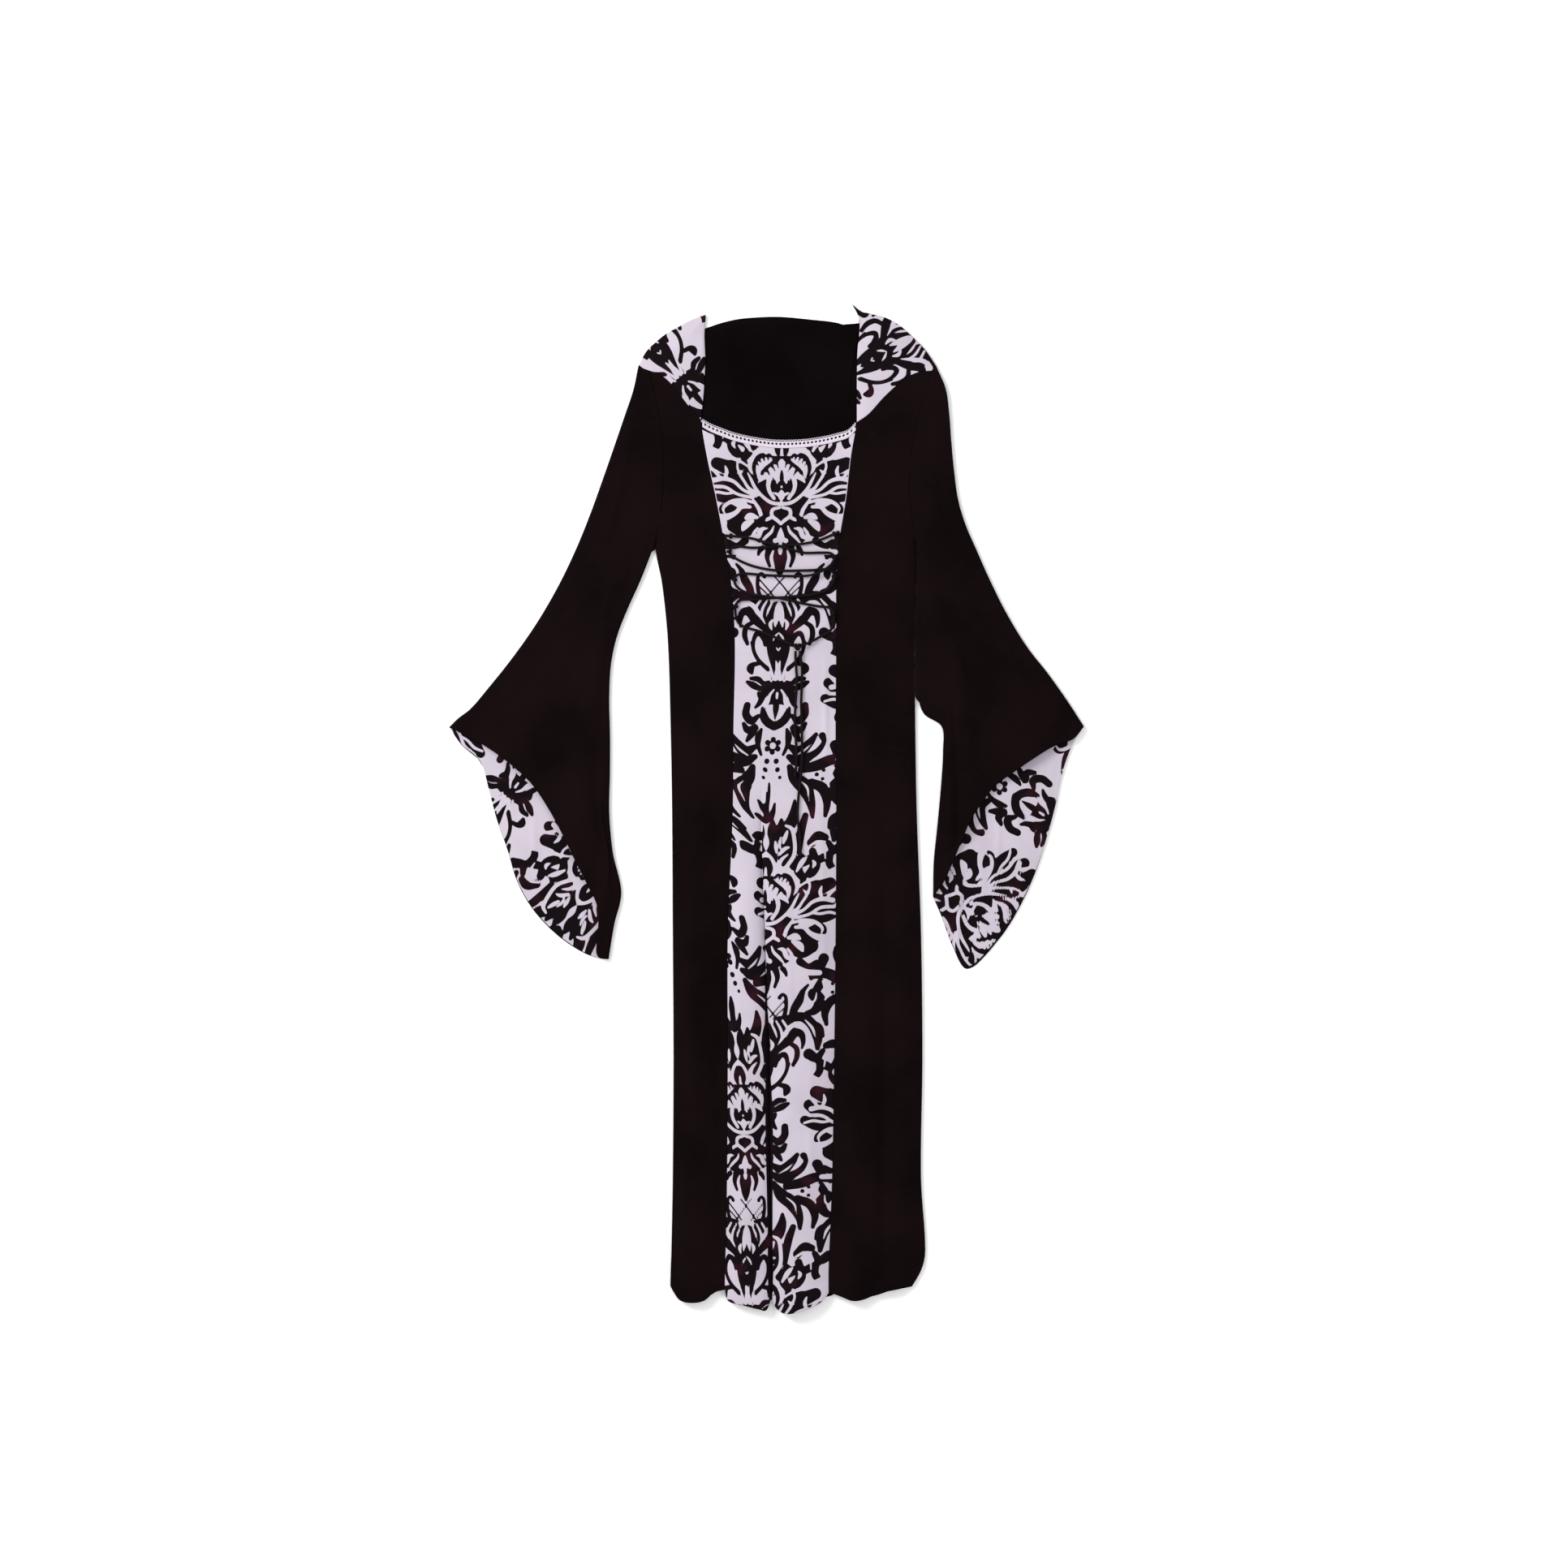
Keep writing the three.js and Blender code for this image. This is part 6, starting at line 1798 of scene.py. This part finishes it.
@dataclass(frozen=True)
class Velvet(Finish):
    """Short black pile with a red-brown cast, brushed unevenly."""

    deep: tuple = (7, 4, 5)
    lit: tuple = (21, 11, 12)
    sheen: float = 0.02

    def build(self, graph: Graph) -> bpy.types.Material:
        """Pile noise for the bump, slow noise for where the pile lies another way.

        Args:
            graph: The new material's nodes.

        Returns:
            The material.
        """
        place = graph.add("TexCoord").outputs["Object"]
        brushed = graph.ramp(graph.noise(place, 9.0, 3.0), 0.35, 0.65)
        pile = graph.noise(place, 900.0, 2.0)
        nap = graph.noise(place, 160.0, 3.0)
        shade = graph.math("ADD", graph.math("MULTIPLY", brushed, 0.5), graph.math("MULTIPLY", nap, 0.5))
        color = graph.blend(shade, linear(*self.deep), linear(*self.lit))
        height = graph.math("ADD", graph.math("MULTIPLY", pile, 0.6), graph.math("MULTIPLY", nap, 0.4))
        return graph.finish({
            "Base Color": color, "Roughness": graph.ramp(nap, 0.3, 0.7, 0.82, 0.97),
            "Specular IOR Level": 0.02, "Sheen Weight": self.sheen, "Sheen Roughness": 0.45,
            "Sheen Tint": linear(120, 80, 84), "Normal": graph.bump(height, 0.0005, 0.7),
        })


@dataclass(frozen=True)
class PrintedCotton(Finish):
    """Pale lilac cotton printed with a dark plum damask, by the `ink` attribute of its points, which on
    the centre front also holds a dark strip down the crease that is partly print and partly painted
    shade. Its ground is painted darker between the threads as shade.
    """

    ground: tuple = (190, 181, 193)
    dyed: tuple = (13, 6, 10)
    worn: tuple = (52, 17, 29)
    pitch: float = 0.00055

    def build(self, graph: Graph) -> bpy.types.Material:
        """A plain weave for the bump and for painted shade between its threads, and ink whose edge
        follows the threads.

        Args:
            graph: The new material's nodes.

        Returns:
            The material.
        """
        cloth = graph.add("TexCoord").outputs["UV"]
        weave = graph.weave(cloth, self.pitch)
        grain = graph.noise(cloth, 900.0, 3.0)
        ragged = graph.math("MULTIPLY", graph.math("SUBTRACT", grain, 0.5), 0.7)
        ink = graph.add("Attribute", attribute_name="ink").outputs["Fac"]
        inked = graph.ramp(graph.math("ADD", ink, ragged), -0.22, 0.22)
        slow = graph.noise(cloth, 14.0, 3.0)
        soiled = graph.blend(graph.ramp(slow, 0.35, 0.7), linear(*self.ground),
                             linear(*(v - 9 for v in self.ground)))
        # Painted shade: the ground darkens between the threads of the weave
        pale = graph.blend(graph.math("MULTIPLY", graph.math("SUBTRACT", 1.0, weave), 0.35), soiled,
                           linear(*(v - 34 for v in self.ground)))
        thin = graph.ramp(graph.noise(cloth, 22.0, 2.0), 0.56, 0.74, 0.0, 0.8)
        dark = graph.blend(thin, linear(*self.dyed), linear(*self.worn))
        height = graph.math("ADD", graph.math("MULTIPLY", weave, 0.8), graph.math("MULTIPLY", grain, 0.3))
        return graph.finish({
            "Base Color": graph.blend(inked, pale, dark),
            "Roughness": graph.ramp(inked, 0.0, 1.0, 0.85, 0.7), "Specular IOR Level": 0.04,
            "Sheen Weight": 0.01, "Sheen Roughness": 0.5,
            "Normal": graph.bump(height, 0.00025, 0.6),
        })


@dataclass(frozen=True)
class PicotBraid(Finish):
    """Off-white thread with a row of dark holes."""

    thread: tuple = (212, 203, 215)
    hole: tuple = (16, 8, 12)
    hole_pitch: float = 0.0056
    hole_level: float = -0.0036
    hole_radius: float = 0.0017
    thread_pitch: float = 0.0007

    def build(self, graph: Graph) -> bpy.types.Material:
        """Fine slanted threads with painted shade between them, and round holes at an even pitch on one
        level of the band.

        Args:
            graph: The new material's nodes.

        Returns:
            The material.
        """
        cloth = graph.add("TexCoord").outputs["UV"]
        part = graph.add("SeparateXYZ", {0: cloth})
        cell = graph.math("SUBTRACT", graph.math("WRAP", part.outputs[0], self.hole_pitch, 0.0),
                          self.hole_pitch / 2)
        level = graph.math("SUBTRACT", part.outputs[1], self.hole_level)
        reach = graph.math("SQRT", graph.math("ADD", graph.math("MULTIPLY", cell, cell),
                                              graph.math("MULTIPLY", level, level)))
        open_hole = graph.ramp(reach, self.hole_radius * 0.8, self.hole_radius * 1.15, 1.0, 0.0)
        slant = graph.math("ADD", part.outputs[0], part.outputs[1])
        turns = graph.math("MULTIPLY", slant, math.pi / self.thread_pitch)
        thread = graph.math("ABSOLUTE", graph.math("SINE", turns))
        grain = graph.noise(cloth, 1200.0, 2.0)
        # Painted shade: the thread's colour darkens in the grooves between the threads
        pale = graph.blend(graph.math("MULTIPLY", graph.math("SUBTRACT", 1.0, thread), 0.4),
                           linear(*self.thread), linear(*(v - 60 for v in self.thread)))
        height = graph.math("SUBTRACT", graph.math("ADD", graph.math("MULTIPLY", thread, 0.7),
                                                   graph.math("MULTIPLY", grain, 0.3)), open_hole)
        return graph.finish({
            "Base Color": graph.blend(open_hole, pale, linear(*self.hole)), "Roughness": 0.75,
            "Specular IOR Level": 0.12, "Normal": graph.bump(height, 0.0003, 0.8),
        })


@dataclass(frozen=True)
class BlackCord(Finish):
    """Black twisted cord with a soft gloss on its threads, and a painted highlight on the crests of its
    fibres.
    """

    color: tuple = (12, 6, 8)
    # The colour of the fibres' crests: a painted highlight
    fibre: tuple = (27, 17, 20)
    fibre_pitch: float = 0.0005
    slant: float = -1.25

    def build(self, graph: Graph) -> bpy.types.Material:
        """Fine fibres that run along the strands, painted lighter on their crests as a highlight.

        Args:
            graph: The new material's nodes.

        Returns:
            The material.
        """
        wound = graph.add("TexCoord").outputs["UV"]
        part = graph.add("SeparateXYZ", {0: wound})
        run = graph.math("ADD", part.outputs[1], graph.math("MULTIPLY", part.outputs[0], self.slant))
        turns = graph.math("MULTIPLY", run, math.pi / self.fibre_pitch)
        fibre = graph.math("ABSOLUTE", graph.math("SINE", turns))
        fuzz = graph.noise(wound, 1500.0, 2.0)
        # Painted highlight: lighter on the fibres' crests where the random fuzz allows, darker between
        # them
        color = graph.blend(graph.math("MULTIPLY", fibre, fuzz), linear(*self.color), linear(*self.fibre))
        height = graph.math("ADD", graph.math("MULTIPLY", fibre, 0.6), graph.math("MULTIPLY", fuzz, 0.4))
        return graph.finish({
            "Base Color": color, "Roughness": 0.7, "Specular IOR Level": 0.07,
            "Sheen Weight": 0.01, "Normal": graph.bump(height, 0.0002, 0.7),
        })


@dataclass(frozen=True)
class Paper(Finish):
    """The plain pale floor."""

    color: tuple = (246, 246, 247)

    def build(self, graph: Graph) -> bpy.types.Material:
        """A matt surface with a very faint grain."""
        place = graph.add("TexCoord").outputs["Object"]
        grain = graph.noise(place, 3.0, 2.0)
        color = graph.blend(grain, linear(*self.color), linear(*(v - 2 for v in self.color)))
        return graph.finish({"Base Color": color, "Roughness": 0.95, "Specular IOR Level": 0.1})


# Camera, light and floor


@dataclass(frozen=True)
class Studio:
    """A camera straight above, soft light from the upper left, and a plain pale floor."""

    aim: tuple = (0.0247, 0.0345)
    frame_width: float = 1932 * 1.15 * MM
    lens: float = 85.0
    sensor: float = 36.0
    cloth_level: float = 0.006
    sky: float = 0.86
    floor_reach: float = 8.0

    def camera(self) -> None:
        """Looks straight down, so far up that the photo's frame is as wide as it was."""
        made = bpy.data.cameras.new("camera")
        made.lens = self.lens
        made.sensor_width = self.sensor
        made.clip_end = 50.0
        eye = bpy.data.objects.new("camera", made)
        eye.location = (*self.aim, self.cloth_level + self.frame_width * self.lens / self.sensor)
        bpy.context.scene.collection.objects.link(eye)
        bpy.context.scene.camera = eye

    def lamp(self, name: str, place: tuple, size: float, power: float) -> None:
        """A square soft light that looks at the gown.

        Args:
            name: Its name.
            place: Where it hangs.
            size: The length of its side in metres.
            power: Its power in watts.
        """
        made = bpy.data.lights.new(name, "AREA")
        made.shape = "SQUARE"
        made.size = size
        made.energy = power
        lamp = bpy.data.objects.new(name, made)
        away = np.array(place) - [self.aim[0], self.aim[1], 0.0]
        lamp.location = place
        lamp.rotation_euler = (math.acos(away[2] / np.linalg.norm(away)), 0.0,
                               math.atan2(away[1], away[0]) + math.pi / 2)
        bpy.context.scene.collection.objects.link(lamp)

    def build(self) -> None:
        """Sets the lights, the even sky and the floor."""
        self.lamp("key", (-2.8, 2.0, 2.3), 1.6, 160.0)
        self.lamp("fill", (2.8, -1.2, 3.2), 3.0, 34.0)
        world = bpy.data.worlds.new("sky")
        world.use_nodes = True
        sky = world.node_tree.nodes["Background"]
        sky.inputs["Color"].default_value = (1.0, 1.0, 1.0, 1.0)
        sky.inputs["Strength"].default_value = self.sky
        bpy.context.scene.world = world
        bpy.context.scene.view_settings.view_transform = "Standard"
        side = self.floor_reach
        corners = [(x, y, 0.0) for x, y in ((-side, -side), (side, -side), (side, side), (-side, side))]
        mesh = bpy.data.meshes.new("floor")
        mesh.from_pydata(corners, [], [(0, 1, 2, 3)])
        mesh.materials.append(Paper("floor_paper").material())
        floor = bpy.data.objects.new("floor", mesh)
        bpy.context.scene.collection.objects.link(floor)


# The gown


VELVET = Velvet("black_velvet", Fabric.VELVET)
# A darker copy of the velvet without sheen for the whole back: painted shade for the back that shows deep
# in the neck opening
SHADED_BACK_VELVET = Velvet("black_velvet_back_shaded", Fabric.VELVET, (4, 2, 3), (12, 7, 8), 0.0)
PRINTED = PrintedCotton("printed_cotton", Fabric.DAMASK)
BRAID = PicotBraid("picot_braid", Fabric.BRAID)
CORD = BlackCord("black_cord", Fabric.CORD)
# Where the print lies on a yoke or a cuff: a place on a column, its level, and the print's turn
YOKE_LIES = {True: ((-130, 620), 275, 40), False: ((132, 625), 262, -60)}
SLEEVES = (
    Sleeve("left", SLEEVE_LEFT_RINGS, CUFF_LEFT, YOKE_LEFT_SHOULDER[0], SIDE_LEFT, -1,
           ((-365, 19), 290, 142)),
    Sleeve("right", SLEEVE_RIGHT_RINGS, CUFF_RIGHT, YOKE_RIGHT_SHOULDER[-1], SIDE_RIGHT, 1,
           ((375, 2), 325, -123)),
)


def main() -> None:
    """Builds the gown piece by piece: the camera and the cords first, then the cloth."""
    logging.basicConfig(level=logging.INFO, format="%(name)s: %(message)s")
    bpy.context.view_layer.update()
    studio = Studio()
    studio.camera()
    lacing = Lacing()
    lacing.free_ends(CORD)
    lacing.halves(CORD)
    lacing.loops(CORD)
    lacing.knot(CORD)
    Back().build(SHADED_BACK_VELVET)
    bodice = Bodice()
    damask = Damask()
    for left, lie in YOKE_LIES.items():
        bodice.side(left).build(VELVET)
        cut = bodice.yoke(left)
        cut.build(PRINTED, damask.laid(cut.flat, *lie))
    cut = bodice.center()
    cut.build(PRINTED, damask.front(cut.flat))
    NeckBraid().build(BRAID)
    Stitching().rows(CORD)
    for sleeve in SLEEVES:
        sleeve.build(VELVET)
        sleeve.build_lining(PRINTED, damask)
    studio.build()


if __name__ == "__main__":
    main()
